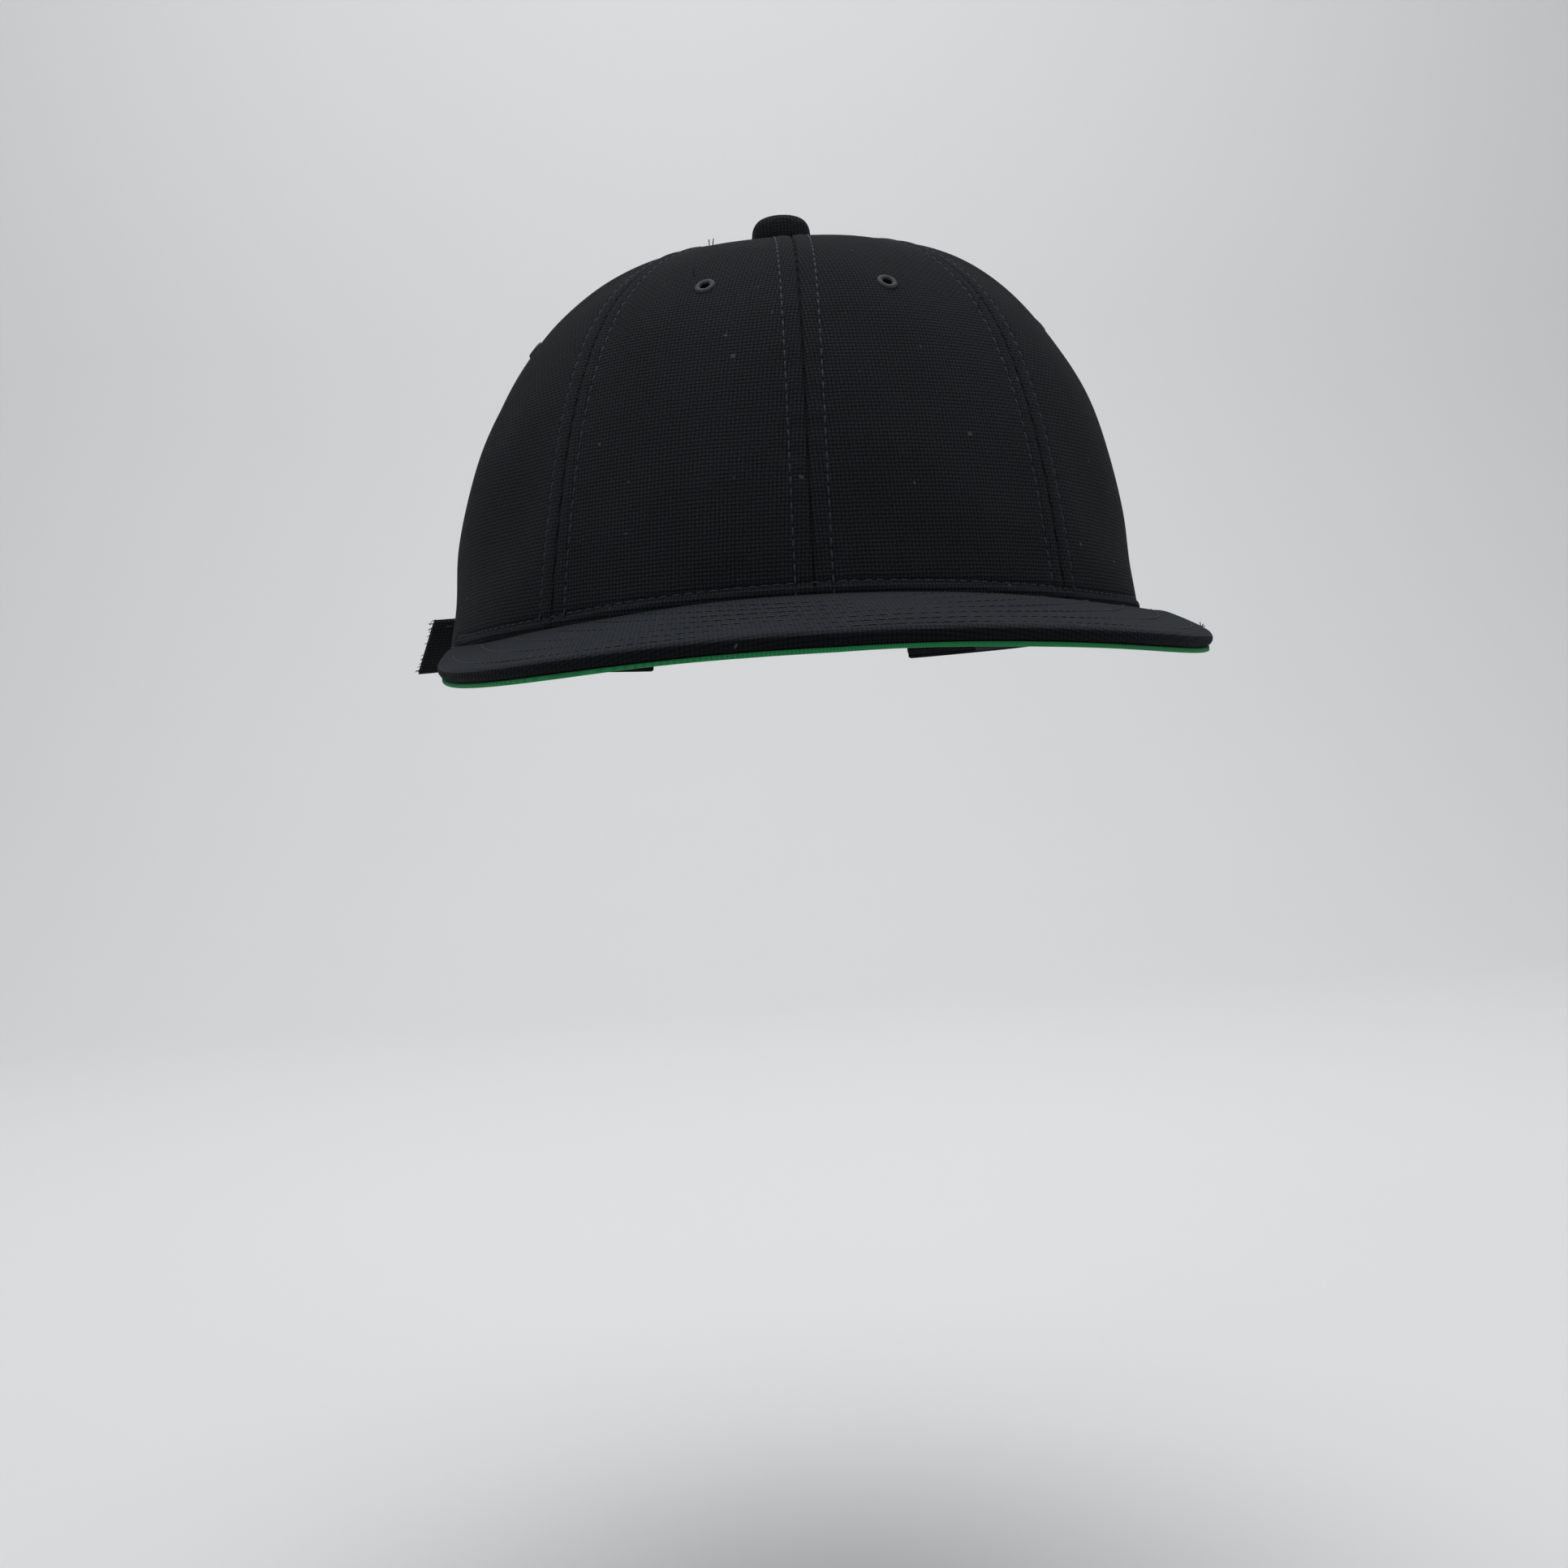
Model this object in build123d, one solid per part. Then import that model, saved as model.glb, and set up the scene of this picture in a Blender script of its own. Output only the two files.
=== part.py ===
from build123d import *
import math
import os

# A soft six-panel bump cap: fabric crown and stitched visor, adjustable back strap with a
# cam-lever buckle, and a removable hard insert with foam pads.
# Frame, in millimetres: origin at the centre of the head opening in the plane of the rim,
# +X to the wearer's left, -Y to the front, where the visor is, +Z up.

os.makedirs("parts", exist_ok=True)

# Crown: an elliptical dome that leans in towards a flat, slightly conical top
CROWN_HALF_WIDTH = 89.0
CROWN_HALF_LENGTH = 100.0
SHOULDER_HEIGHT = 97.0
CONE_HEIGHT = 8.0
PLAN_POWER = 3.17
RISE_POWER = 3.6
TAPER = 0.155
STRETCH = CROWN_HALF_LENGTH / CROWN_HALF_WIDTH

# Depths below the crown's outer surface at which each layer starts and ends
PANEL = (0.0, 1.2)
TAPE = (1.22, 1.8)
BACKING = (1.85, 2.5)
SWEATBAND = (2.52, 3.3)
LABEL = (3.32, 3.6)
INSERT_SHELL = (3.7, 5.7)
INSERT_PAD = (5.75, 11.75)

# Panels, by azimuth from the front, positive to the wearer's left
SEAM_GAP = 0.1
FRONT_SEAM = 41.0
BACK_SEAM = 112.0
PANEL_SECTORS = {"front_panel": (0, FRONT_SEAM), "side_panel": (FRONT_SEAM, BACK_SEAM),
                 "back_panel": (BACK_SEAM, 180)}
SEAMS = {"front_centre_tape": 0, "front_tape_left": FRONT_SEAM, "front_tape_right": -FRONT_SEAM,
         "rear_tape_left": BACK_SEAM, "rear_tape_right": -BACK_SEAM, "back_centre_tape": 180}
TAPE_WIDTH = 12.0
TAPE_TOP_RADIUS = 19.0

# Sewn eyelets, one in each panel
EYELET_AZIMUTHS = {"front": 16.6, "side": 76.5, "rear": 146.0}
EYELET_HEIGHT = 77.0
EYELET_RADIUS = 2.65
EYELET_HOLE_RADIUS = 1.15
EYELET_THICKNESS = 1.9

# Button on the crown's apex
POST_RADIUS = 1.5
BUTTON_RADIUS = 7.75
BUTTON_HEIGHT = 7.0
BUTTON_COVER = 0.9
BUTTON_CORE = 0.8
WASHER_RADIUS = 6.0
WASHER_SHEET = 0.5

# Sweatband
BAND_LOW = 0.6
BAND_HIGH = 26.0
BAND_END_X = 60.0

# Arched opening at the back
ARCH_HALF_WIDTH = 40.0
ARCH_LEG = 18.0
ARCH_RISE = 30.0
BINDING_WIDTH = 6.0
BINDING_LOW = 23.0

# Visor: an arched plate that slopes down to the front
VISOR_HALF_WIDTH = 92.0
VISOR_TIP_Y = -160.0
VISOR_BACK_Y = -30.0
VISOR_OUTLINE_POWER = 0.9
VISOR_SLOPE = 11.2
VISOR_ARCH_RADIUS = 235.0
VISOR_CREST_Z = 18.0
VISOR_THICKNESS = 4.0
UNDERVISOR_THICKNESS = 0.8
TOP_COVER_THICKNESS = 0.8
VISOR_EDGE_WRAP = 1.2
VISOR_SEAM_GAP = 0.05

# Back strap, on a circular path that starts inside the left back panel and passes outside
# the right one, and leans in with the crown's wall
STRAP_CENTRE = (-3.6, 20.0)
STRAP_RADIUS = 80.0
STRAP_THICKNESS = 1.2
STRAP_WIDTH = 15.0
STRAP_LOW = 5.0
STRAP_LEAN = 0.155
STRAP_START = -46.0
STRAP_TANGENT = 35.0
TAIL_LENGTH = 65.0
TAIL_DROOP = 4.0

# Cam-lever buckle on that path, in the arched opening
BUCKLE_ANGLE = 16.5
BUCKLE_LENGTH = 20.0
BUCKLE_SHEET = 0.8
BUCKLE_SIDE_GAP = 0.5
BUCKLE_FLOOR = -2.4
CHEEK_TOP = 4.6
PIN_ALONG = 6.5
PIN_OUT = 2.7
PIN_RADIUS = 0.9
LEVER_BARREL_RADIUS = 1.75
LEVER_SHEET = 1.0
LEVER_REACH = 15.5
HINGE_CLEARANCE = 0.05
TAB_ANGLES = (22.5, 41.0)
TAB_THICKNESS = 1.0
TAB_DEPTH = 2.9

# Insert
INSERT_FRONT_Z = 28.0
INSERT_BACK_Z = 53.0
SIDE_PAD_TOP = 62.0
TOP_PAD_RADIUS = 42.0
VENT_LENGTH = 20.0
VENT_WIDTH = 5.0
VENT_HEIGHT = 72.0
VENT_AZIMUTHS = (-135, -90, -45, 0, 45, 90, 135, 180)

FAR = 300.0


def save(shape, name):
    """Writes one node's solids to its own file."""
    export_step(shape, f"parts/{name}.step")


def direction(azimuth):
    """Unit vector in plan at an azimuth from the front."""
    a = math.radians(azimuth)
    return Vector(math.sin(a), -math.cos(a), 0)


def dome_point(turn, depth):
    """Radius and height on the dome at a depth below its outer surface, turn from 0 to 1."""
    angle = turn * math.pi / 2
    spread = max(math.cos(angle), 0.0) ** (2 / PLAN_POWER)
    rise = math.sin(angle) ** (2 / RISE_POWER)
    radius = (CROWN_HALF_WIDTH - depth) * spread * (1 - TAPER * rise)
    height = (SHOULDER_HEIGHT - depth) * rise + CONE_HEIGHT * (1 - spread) ** 2
    return radius, height


def dome_curve(depth):
    """The dome's profile from the rim to the axis."""
    turns = [0, 0.012, 0.04, 0.09, 0.16, 0.25, 0.35, 0.46, 0.57, 0.67, 0.76, 0.84, 0.905, 0.955, 0.985]
    points = [dome_point(t, depth) for t in turns] + [(0.0, dome_point(1, depth)[1])]
    return Spline([(r, 0, z) for r, z in points])


def layer(depths):
    """The wall of the dome between two depths, as one solid."""
    outer = dome_curve(depths[0])
    inner = dome_curve(depths[1])
    edges = [outer, Line(outer @ 1, inner @ 1), inner, Line(inner @ 0, outer @ 0)]
    wall = revolve(make_face(edges), Axis.Z, 360)
    return scale(wall, by=(1, STRETCH, 1))


def surface_point(azimuth, height):
    """Point and outward normal of the outer surface at an azimuth and height."""
    def point(turn, bearing):
        radius, z = dome_point(turn, 0)
        flat = direction(bearing)
        reach = radius / math.hypot(flat.X, flat.Y / STRETCH)
        return Vector(flat.X * reach, flat.Y * reach, z)

    low, high = 0.0, 1.0
    for _ in range(40):
        middle = (low + high) / 2
        low, high = (middle, high) if dome_point(middle, 0)[1] < height else (low, middle)
    here = point(low, azimuth)
    along = point(low + 0.001, azimuth) - here
    across = point(low, azimuth + 0.05) - here
    return here, across.cross(along).normalized()


def sector(start, end, gap):
    """A tall wedge between two azimuths, pulled in by half the gap on each side."""
    middle = (start + end) / 2
    shift = direction(middle) * (gap / 2 / math.sin(math.radians((end - start) / 2)))
    corners = [shift, direction(start) * FAR + shift, direction(middle) * FAR * 1.5 + shift,
               direction(end) * FAR + shift]
    outline = make_face(Polyline([(c.X, c.Y, -FAR / 2) for c in corners], close=True))
    return extrude(outline, FAR, dir=(0, 0, 1))


def slab(low, high):
    """All the space between two heights."""
    return Pos(0, 0, (low + high) / 2) * Box(2 * FAR, 2 * FAR, high - low)


def arch_prism(grow=0.0):
    """The arched opening as a solid that runs out through the back wall."""
    half = ARCH_HALF_WIDTH + grow
    top = ARCH_LEG + ARCH_RISE + grow
    legs = Pos(0, (ARCH_LEG - 10) / 2) * Rectangle(2 * half, ARCH_LEG + 10)
    crest = Pos(0, ARCH_LEG) * Ellipse(half, top - ARCH_LEG)
    outline = Plane.XZ * (legs + crest)
    return Pos(0, 50, 0) * extrude(outline, 100, dir=(0, 1, 0))


def make_panels():
    wall = layer(PANEL) - arch_prism()
    wall -= Pos(0, 0, 100) * Cylinder(POST_RADIUS + 0.3, 40)
    for place in EYELET_AZIMUTHS.values():
        for side in (-1, 1):
            point, normal = surface_point(side * place, EYELET_HEIGHT)
            wall -= Plane(point, z_dir=normal) * Cylinder(EYELET_RADIUS + 0.05, 12)
    for name, (start, end) in PANEL_SECTORS.items():
        save(wall & sector(start, end, SEAM_GAP), f"{name}_left")
        save(wall & sector(-end, -start, SEAM_GAP), f"{name}_right")


def make_tapes():
    wall = layer(TAPE) & slab(BAND_HIGH + 1, FAR)
    wall -= Pos(0, 0, 100) * Cylinder(TAPE_TOP_RADIUS, 60)
    wall -= arch_prism(BINDING_WIDTH + 0.5)
    for name, azimuth in SEAMS.items():
        strip = Plane((0, 0, 50), x_dir=direction(azimuth), z_dir=(0, 0, 1)) * (
            Pos(FAR / 4, 0, 0) * Box(FAR / 2, TAPE_WIDTH, 120))
        save(wall & strip, name)


def make_eyelets():
    for name, place in EYELET_AZIMUTHS.items():
        for side, word in ((1, "left"), (-1, "right")):
            point, normal = surface_point(side * place, EYELET_HEIGHT)
            middle = point - normal * (PANEL[1] / 2)
            ring = Cylinder(EYELET_RADIUS, EYELET_THICKNESS) - Cylinder(EYELET_HOLE_RADIUS, 5)
            save(Plane(middle, z_dir=normal) * ring, f"{name}_eyelet_{word}")


def button_dome(radius, height, base):
    """Half of a flattened ball on a short straight side, standing at height base."""
    side = height * 0.35
    ball = scale(Sphere(radius), by=(1, 1, (height - side) / radius))
    upper = ball & (Pos(0, 0, radius) * Box(4 * radius, 4 * radius, 2 * radius))
    return Pos(0, 0, base) * (Pos(0, 0, side) * upper + Pos(0, 0, side / 2) * Cylinder(radius, side))


def make_button():
    apex = dome_point(1, 0)[1]
    base = apex - 0.9
    crown_top = layer((-0.05, 30.0))
    cover = button_dome(BUTTON_RADIUS, BUTTON_HEIGHT, base)
    hollow = button_dome(BUTTON_RADIUS - BUTTON_COVER, BUTTON_HEIGHT - BUTTON_COVER, base)
    save(cover - hollow - crown_top, "button_cover")
    core = hollow - button_dome(BUTTON_RADIUS - BUTTON_COVER - BUTTON_CORE,
                                BUTTON_HEIGHT - BUTTON_COVER - BUTTON_CORE, base)
    save(core - crown_top, "button_core")
    post_top = base + BUTTON_HEIGHT - BUTTON_COVER - BUTTON_CORE - 0.2
    post_low = apex - 3.3
    post = Pos(0, 0, (post_top + post_low) / 2) * Cylinder(POST_RADIUS, post_top - post_low)
    disc = Pos(0, 0, post_low + WASHER_SHEET / 2) * Cylinder(WASHER_RADIUS, WASHER_SHEET)
    save(post + disc, "button_post")


def make_sweatband():
    ends = Pos(0, 60 + FAR / 2, 0) * Box(2 * BAND_END_X, FAR, FAR)
    for name, depths in (("sweatband_backing", BACKING), ("sweatband", SWEATBAND)):
        save((layer(depths) & slab(BAND_LOW, BAND_HIGH)) - ends, name)
    here = sector(118, 133, 0)
    save(layer(LABEL) & slab(3, 21) & here, "size_label")


def make_binding():
    ring = layer((1.22, 1.75)) & slab(BINDING_LOW, FAR) & (arch_prism(BINDING_WIDTH) - arch_prism())
    backstop = Pos(0, 60, 0) * Box(200, 120, FAR)
    save(ring & backstop, "back_arch_binding")


def visor_plate(low, high):
    """The arched, sloping plate between two heights above its lower face."""
    lower_radius = VISOR_ARCH_RADIUS - VISOR_THICKNESS
    centre = VISOR_CREST_Z - VISOR_ARCH_RADIUS
    band = Circle(lower_radius + high) - Circle(lower_radius + low)
    band &= Pos(0, VISOR_ARCH_RADIUS) * Rectangle(240, VISOR_ARCH_RADIUS)
    section = Plane((0, VISOR_BACK_Y + 30, centre), x_dir=(1, 0, 0), z_dir=(0, -1, 0)) * band
    tilt = math.tan(math.radians(VISOR_SLOPE))
    plate = extrude(section, 180 / math.cos(math.radians(VISOR_SLOPE)), dir=(0, -1, -tilt))
    return Pos(0, 0, 30 * tilt) * plate


def visor_outline(inset):
    """Plan of the visor: a rounded front edge and the crown's own curve at the back."""
    half = VISOR_HALF_WIDTH - inset
    reach = VISOR_BACK_Y - VISOR_TIP_Y - inset
    edge = []
    for step in range(-8, 9):
        angle = step / 8 * math.pi / 2
        forward = max(math.cos(angle), 0.0) ** VISOR_OUTLINE_POWER
        edge.append((half * math.sin(angle), VISOR_BACK_Y - reach * forward, 0))
    front = Spline(edge)
    face = make_face([front, Line(front @ 1, front @ 0)])
    crown = Ellipse(CROWN_HALF_WIDTH + VISOR_SEAM_GAP, CROWN_HALF_LENGTH + VISOR_SEAM_GAP)
    return Pos(0, 0, -FAR / 4) * extrude(face - crown, FAR / 2, dir=(0, 0, 1))


def make_visor():
    whole = visor_outline(0)
    inner = visor_outline(VISOR_EDGE_WRAP)
    board_top = VISOR_THICKNESS - TOP_COVER_THICKNESS
    board = visor_plate(UNDERVISOR_THICKNESS, board_top) & inner
    save(visor_plate(0, UNDERVISOR_THICKNESS) & whole, "undervisor")
    save(board, "visor_board")
    save((visor_plate(UNDERVISOR_THICKNESS, VISOR_THICKNESS) & whole) - board, "visor_top_cover")


def strap_band(outer, thickness, low, high, start, end):
    """A leaning band on the strap's circle, from start to end degrees past straight back."""
    def radius(z):
        return outer - STRAP_LEAN * z
    corners = [(radius(low), 0, low), (radius(high), 0, high),
               (radius(high) - thickness, 0, high), (radius(low) - thickness, 0, low)]
    face = make_face(Polyline(corners, close=True))
    band = revolve(face, Axis.Z, end - start)
    return Pos(*STRAP_CENTRE, 0) * Rot(0, 0, 90 + start) * band


def strap_frame(angle):
    """Plane on the strap's outer face: x along the path, y up, z outward."""
    a = math.radians(angle)
    middle = STRAP_LOW + STRAP_WIDTH / 2
    radius = STRAP_RADIUS - STRAP_LEAN * middle
    place = Vector(STRAP_CENTRE[0] - radius * math.sin(a), STRAP_CENTRE[1] + radius * math.cos(a), middle)
    along = Vector(-math.cos(a), -math.sin(a), 0)
    out = Vector(-math.sin(a), math.cos(a), STRAP_LEAN).normalized()
    return Plane(place, x_dir=along, z_dir=out)


def make_strap():
    high = STRAP_LOW + STRAP_WIDTH
    band = strap_band(STRAP_RADIUS, STRAP_THICKNESS, STRAP_LOW, high, STRAP_START, STRAP_TANGENT)
    half = STRAP_WIDTH / 2
    drop = TAIL_LENGTH * math.tan(math.radians(TAIL_DROOP))
    outline = Polyline([(0, half), (TAIL_LENGTH - 4, half - drop), (TAIL_LENGTH, -half - drop), (0, -half)],
                       close=True)
    tail = extrude(strap_frame(STRAP_TANGENT) * make_face(outline), -STRAP_THICKNESS)
    save(band + tail, "back_strap")


def make_buckle():
    frame = strap_frame(BUCKLE_ANGLE)
    inside = STRAP_WIDTH / 2 + BUCKLE_SIDE_GAP
    outside = inside + BUCKLE_SHEET
    floor = Pos(0, 0, BUCKLE_FLOOR - BUCKLE_SHEET / 2) * Box(BUCKLE_LENGTH, 2 * outside, BUCKLE_SHEET)
    floor -= Pos(0, 0, BUCKLE_FLOOR) * Box(BUCKLE_LENGTH - 9, 2 * inside - 4, 4)
    tall = CHEEK_TOP - BUCKLE_FLOOR
    body = floor
    for side in (-1, 1):
        middle = side * (inside + outside) / 2
        cheek = Pos(0, middle, (CHEEK_TOP + BUCKLE_FLOOR) / 2) * Box(BUCKLE_LENGTH, BUCKLE_SHEET, tall)
        body += cheek
    pin_hole = Pos(PIN_ALONG, 0, PIN_OUT) * Rot(90, 0, 0) * Cylinder(PIN_RADIUS, 3 * outside)
    pin = Pos(PIN_ALONG, 0, PIN_OUT) * Rot(90, 0, 0) * Cylinder(PIN_RADIUS, 2 * outside)
    save(frame * (body - pin_hole), "buckle_frame")
    save(frame * pin, "buckle_pin")

    lever_width = 2 * inside - 0.8
    barrel = Pos(PIN_ALONG, 0, PIN_OUT) * Rot(90, 0, 0) * Cylinder(LEVER_BARREL_RADIUS, lever_width)
    plate_z = PIN_OUT + LEVER_BARREL_RADIUS - LEVER_SHEET / 2
    plate = Pos(PIN_ALONG - LEVER_REACH / 2, 0, plate_z) * Box(LEVER_REACH, lever_width, LEVER_SHEET)
    lip = Pos(PIN_ALONG - LEVER_REACH, 0, plate_z + 0.5) * Rot(90, 0, 0) * Cylinder(0.9, lever_width)
    bore = Pos(PIN_ALONG, 0, PIN_OUT) * Rot(90, 0, 0) * Cylinder(PIN_RADIUS + HINGE_CLEARANCE, 40)
    save(frame * (barrel + plate + lip - bore), "buckle_lever")

    outer = STRAP_RADIUS - STRAP_THICKNESS - TAB_DEPTH
    tab = strap_band(outer, TAB_THICKNESS, STRAP_LOW + 1, STRAP_LOW + STRAP_WIDTH - 1, *TAB_ANGLES)
    save(tab, "buckle_tab")


def rim_cutter():
    """The space below the insert's lower edge, which rises from the front to the back."""
    tilt = math.degrees(math.atan2(INSERT_BACK_Z - INSERT_FRONT_Z, 2 * CROWN_HALF_LENGTH))
    middle = (INSERT_FRONT_Z + INSERT_BACK_Z) / 2
    return Pos(0, 0, middle) * Rot(tilt, 0, 0) * Pos(0, 0, -FAR / 2) * Box(2 * FAR, 2 * FAR, FAR)


def make_insert():
    below = rim_cutter()
    shell = layer(INSERT_SHELL) - below
    for azimuth in VENT_AZIMUTHS:
        point, normal = surface_point(azimuth, VENT_HEIGHT)
        slot_plane = Plane(point, x_dir=direction(azimuth + 90), z_dir=normal)
        shell -= slot_plane * (Pos(0, 0, -10) * extrude(SlotOverall(VENT_LENGTH, VENT_WIDTH), 20))
    save(shell, "insert_shell")

    foam = layer(INSERT_PAD) - below
    save(foam & (Pos(0, 0, 100) * Cylinder(TOP_PAD_RADIUS, 80)), "crown_pad")
    ring = (foam & slab(0, SIDE_PAD_TOP)) - (Pos(0, 0, -2) * below)
    pads = {"front_pad": (-38, 38), "left_pad": (48, 116), "right_pad": (-116, -48), "rear_pad": (132, 228)}
    for name, (start, end) in pads.items():
        save(ring & sector(start, end, 0), name)


make_panels()
make_tapes()
make_eyelets()
make_button()
make_sweatband()
make_binding()
make_visor()
make_strap()
make_buckle()
make_insert()
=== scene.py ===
import math
import random

import bmesh
import bpy
import numpy as np
from mathutils import Matrix, Vector


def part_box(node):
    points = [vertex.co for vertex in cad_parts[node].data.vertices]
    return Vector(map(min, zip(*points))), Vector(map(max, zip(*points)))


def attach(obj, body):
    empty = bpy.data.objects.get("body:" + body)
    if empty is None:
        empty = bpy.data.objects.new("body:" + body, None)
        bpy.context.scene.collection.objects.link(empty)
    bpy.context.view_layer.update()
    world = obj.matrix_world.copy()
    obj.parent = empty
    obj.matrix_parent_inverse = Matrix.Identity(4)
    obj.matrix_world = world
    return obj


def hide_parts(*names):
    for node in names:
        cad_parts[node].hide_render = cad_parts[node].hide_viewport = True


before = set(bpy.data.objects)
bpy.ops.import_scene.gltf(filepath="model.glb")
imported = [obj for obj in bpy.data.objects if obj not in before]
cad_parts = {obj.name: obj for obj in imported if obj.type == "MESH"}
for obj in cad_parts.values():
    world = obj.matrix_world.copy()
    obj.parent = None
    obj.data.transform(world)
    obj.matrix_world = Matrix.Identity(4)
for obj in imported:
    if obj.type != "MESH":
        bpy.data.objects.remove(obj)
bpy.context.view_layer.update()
scene = bpy.context.scene
MM = 0.001

# ---- sizes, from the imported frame
HALF_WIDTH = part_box("side_panel_left")[1].x
HALF_LENGTH = -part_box("front_panel_left")[0].y
STRETCH = HALF_LENGTH / HALF_WIDTH
CONE = 8 * MM
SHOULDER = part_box("front_panel_left")[1].z + 0.3 * MM - CONE
PLAN_POWER, RISE_POWER, TAPER = 3.17, 3.6, 0.155
LEAN = 2.2 * MM
TOP_TURN = 0.992  # the panels stop just short of the apex

PANEL = (0.0, 1.2 * MM)
TAPE = (1.25 * MM, 1.75 * MM)
BACKING = (1.85 * MM, 2.45 * MM)
BAND = (2.5 * MM, 3.3 * MM)
FRONT_SEAM, BACK_SEAM = 36.9, 112.0
WELT = 4.0 * MM
STITCH_PITCH, STITCH_LENGTH, STITCH_RADIUS = 2.75 * MM, 2.4 * MM, 0.19 * MM
WEAVE_PITCH = 0.88 * MM
TAPE_HALF = 6  # mm
BAND_END = 60 * MM  # how far from the middle the sweatband ends at the back
EYELET_HEIGHT = 77  # mm
EYELET_HOLE = 1.3 * MM
BINDING_LOW = 23 * MM
WELD = 1e-5  # vertices nearer than this, in metres, are one
ARCH_HALF = 40 * MM
ARCH_LEG = 18 * MM
ARCH_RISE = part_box("back_centre_tape")[0].z - 6.5 * MM - ARCH_LEG
rng = random.Random(7)
# swell or sag in mm, then centre and spread in x, y and z, in mm
LUMPS = [(-3.1, -33, 15, 0, 45, 98, 14), (2.3, 46, 17, 0, 45, 92, 16), (1.9, 80, 18, 0, 50, 60, 15),
         (0.9, -86, 14, 0, 45, 56, 15), (-0.9, -88, 14, 0, 45, 14, 14), (-3.0, 3, 27, -25, 15, 101, 15),
         (0.8, 22, 14, -52, 16, 88, 12), (0.7, -24, 14, -54, 16, 86, 12), (-1.1, -62, 12, -60, 16, 40, 22),
         (1.3, -34, 22, -33, 5.5, 95, 14), (1.0, 30, 22, -33, 5.5, 95, 14), (0.9, -70, 12, -34, 7, 62, 26)]


# ---- material graphs
class Graph:
    """A material's node tree, built by short calls."""

    def __init__(self, name, roughness=0.9, sheen=0.0, metallic=0.0, sheen_tint=None, specular=0.5):
        self.material = bpy.data.materials.new(name)
        self.material.use_nodes = True
        self.tree = self.material.node_tree
        self.shader = self.tree.nodes["Principled BSDF"]
        for socket, value in (("Roughness", roughness), ("Metallic", metallic), ("Sheen Weight", sheen),
                              ("Sheen Roughness", 0.45), ("Specular IOR Level", specular)):
            self.shader.inputs[socket].default_value = value
        if sheen_tint:
            self.shader.inputs["Sheen Tint"].default_value = (*sheen_tint, 1)

    def put(self, socket, value):
        if hasattr(value, "links"):
            self.tree.links.new(value, socket)
        else:
            socket.default_value = value

    def math(self, kind, a, b=0.0):
        node = self.tree.nodes.new("ShaderNodeMath")
        node.operation = kind
        self.put(node.inputs[0], a)
        self.put(node.inputs[1], b)
        return node.outputs[0]

    def times(self, a, b):
        return self.math("MULTIPLY", a, b)

    def plus(self, a, b):
        return self.math("ADD", a, b)

    def ridges(self, value):
        """Rounded ridges, one to each unit of value."""
        return self.math("ABSOLUTE", self.math("SINE", self.times(value, math.pi)))

    def uv(self):
        node = self.tree.nodes.new("ShaderNodeUVMap")
        split = self.tree.nodes.new("ShaderNodeSeparateXYZ")
        self.tree.links.new(node.outputs[0], split.inputs[0])
        return node.outputs[0], split.outputs[0], split.outputs[1]

    def place(self):
        return self.tree.nodes.new("ShaderNodeTexCoord").outputs["Object"]

    def noise(self, vector, scale, detail=3.0, roughness=0.5):
        node = self.tree.nodes.new("ShaderNodeTexNoise")
        self.tree.links.new(vector, node.inputs["Vector"])
        for socket, value in (("Scale", scale), ("Detail", detail), ("Roughness", roughness)):
            node.inputs[socket].default_value = value
        return node.outputs[0]

    def ramp(self, value, *stops):
        node = self.tree.nodes.new("ShaderNodeValToRGB")
        self.put(node.inputs[0], value)
        elements = node.color_ramp.elements
        while len(elements) < len(stops):
            elements.new(0.5)
        for element, (position, colour) in zip(elements, stops):
            element.position = position
            element.color = (*colour, 1)
        return node.outputs[0]

    def mix(self, share, a, b):
        node = self.tree.nodes.new("ShaderNodeMix")
        node.data_type = "RGBA"
        self.put(node.inputs[0], share)
        for socket, value in ((node.inputs[6], a), (node.inputs[7], b)):
            self.put(socket, value if hasattr(value, "links") else (*value, 1))
        return node.outputs[2]

    def bump(self, height, distance, strength=1.0):
        node = self.tree.nodes.new("ShaderNodeBump")
        node.inputs["Strength"].default_value = strength
        node.inputs["Distance"].default_value = distance
        self.put(node.inputs["Height"], height)
        self.tree.links.new(node.outputs[0], self.shader.inputs["Normal"])

    def colour(self, value):
        self.put(self.shader.inputs["Base Color"], value)


def streaks(graph, vector, along, across, scale):
    """Long thin noise, for threads that are thicker or paler along their length."""
    node = graph.tree.nodes.new("ShaderNodeMapping")
    graph.tree.links.new(vector, node.inputs["Vector"])
    node.inputs["Scale"].default_value = (along, across, 1)
    return graph.noise(node.outputs[0], scale, 2, 0.6)


def weave(graph, pitch):
    """Height of a plain weave of round threads, 0 to 1, on the UV map in metres."""
    vector, u, v = graph.uv()
    wander = graph.times(graph.math("SUBTRACT", graph.noise(vector, 180, 2), 0.5), 0.5)
    u = graph.plus(graph.math("DIVIDE", u, pitch), wander)
    v = graph.plus(graph.math("DIVIDE", v, pitch), wander)
    across_u = graph.ridges(u)
    across_v = graph.ridges(v)
    parity = graph.math("MODULO", graph.plus(graph.math("FLOOR", u), graph.math("FLOOR", v)), 2.0)
    parity = graph.math("ABSOLUTE", parity)
    crown_u = graph.times(across_u, graph.plus(graph.times(across_v, 0.5), 0.5))
    crown_v = graph.times(across_v, graph.plus(graph.times(across_u, 0.5), 0.5))
    top = graph.times(crown_u, parity)
    rest = graph.times(crown_v, graph.math("SUBTRACT", 1.0, parity))
    return vector, graph.plus(top, rest)


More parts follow.
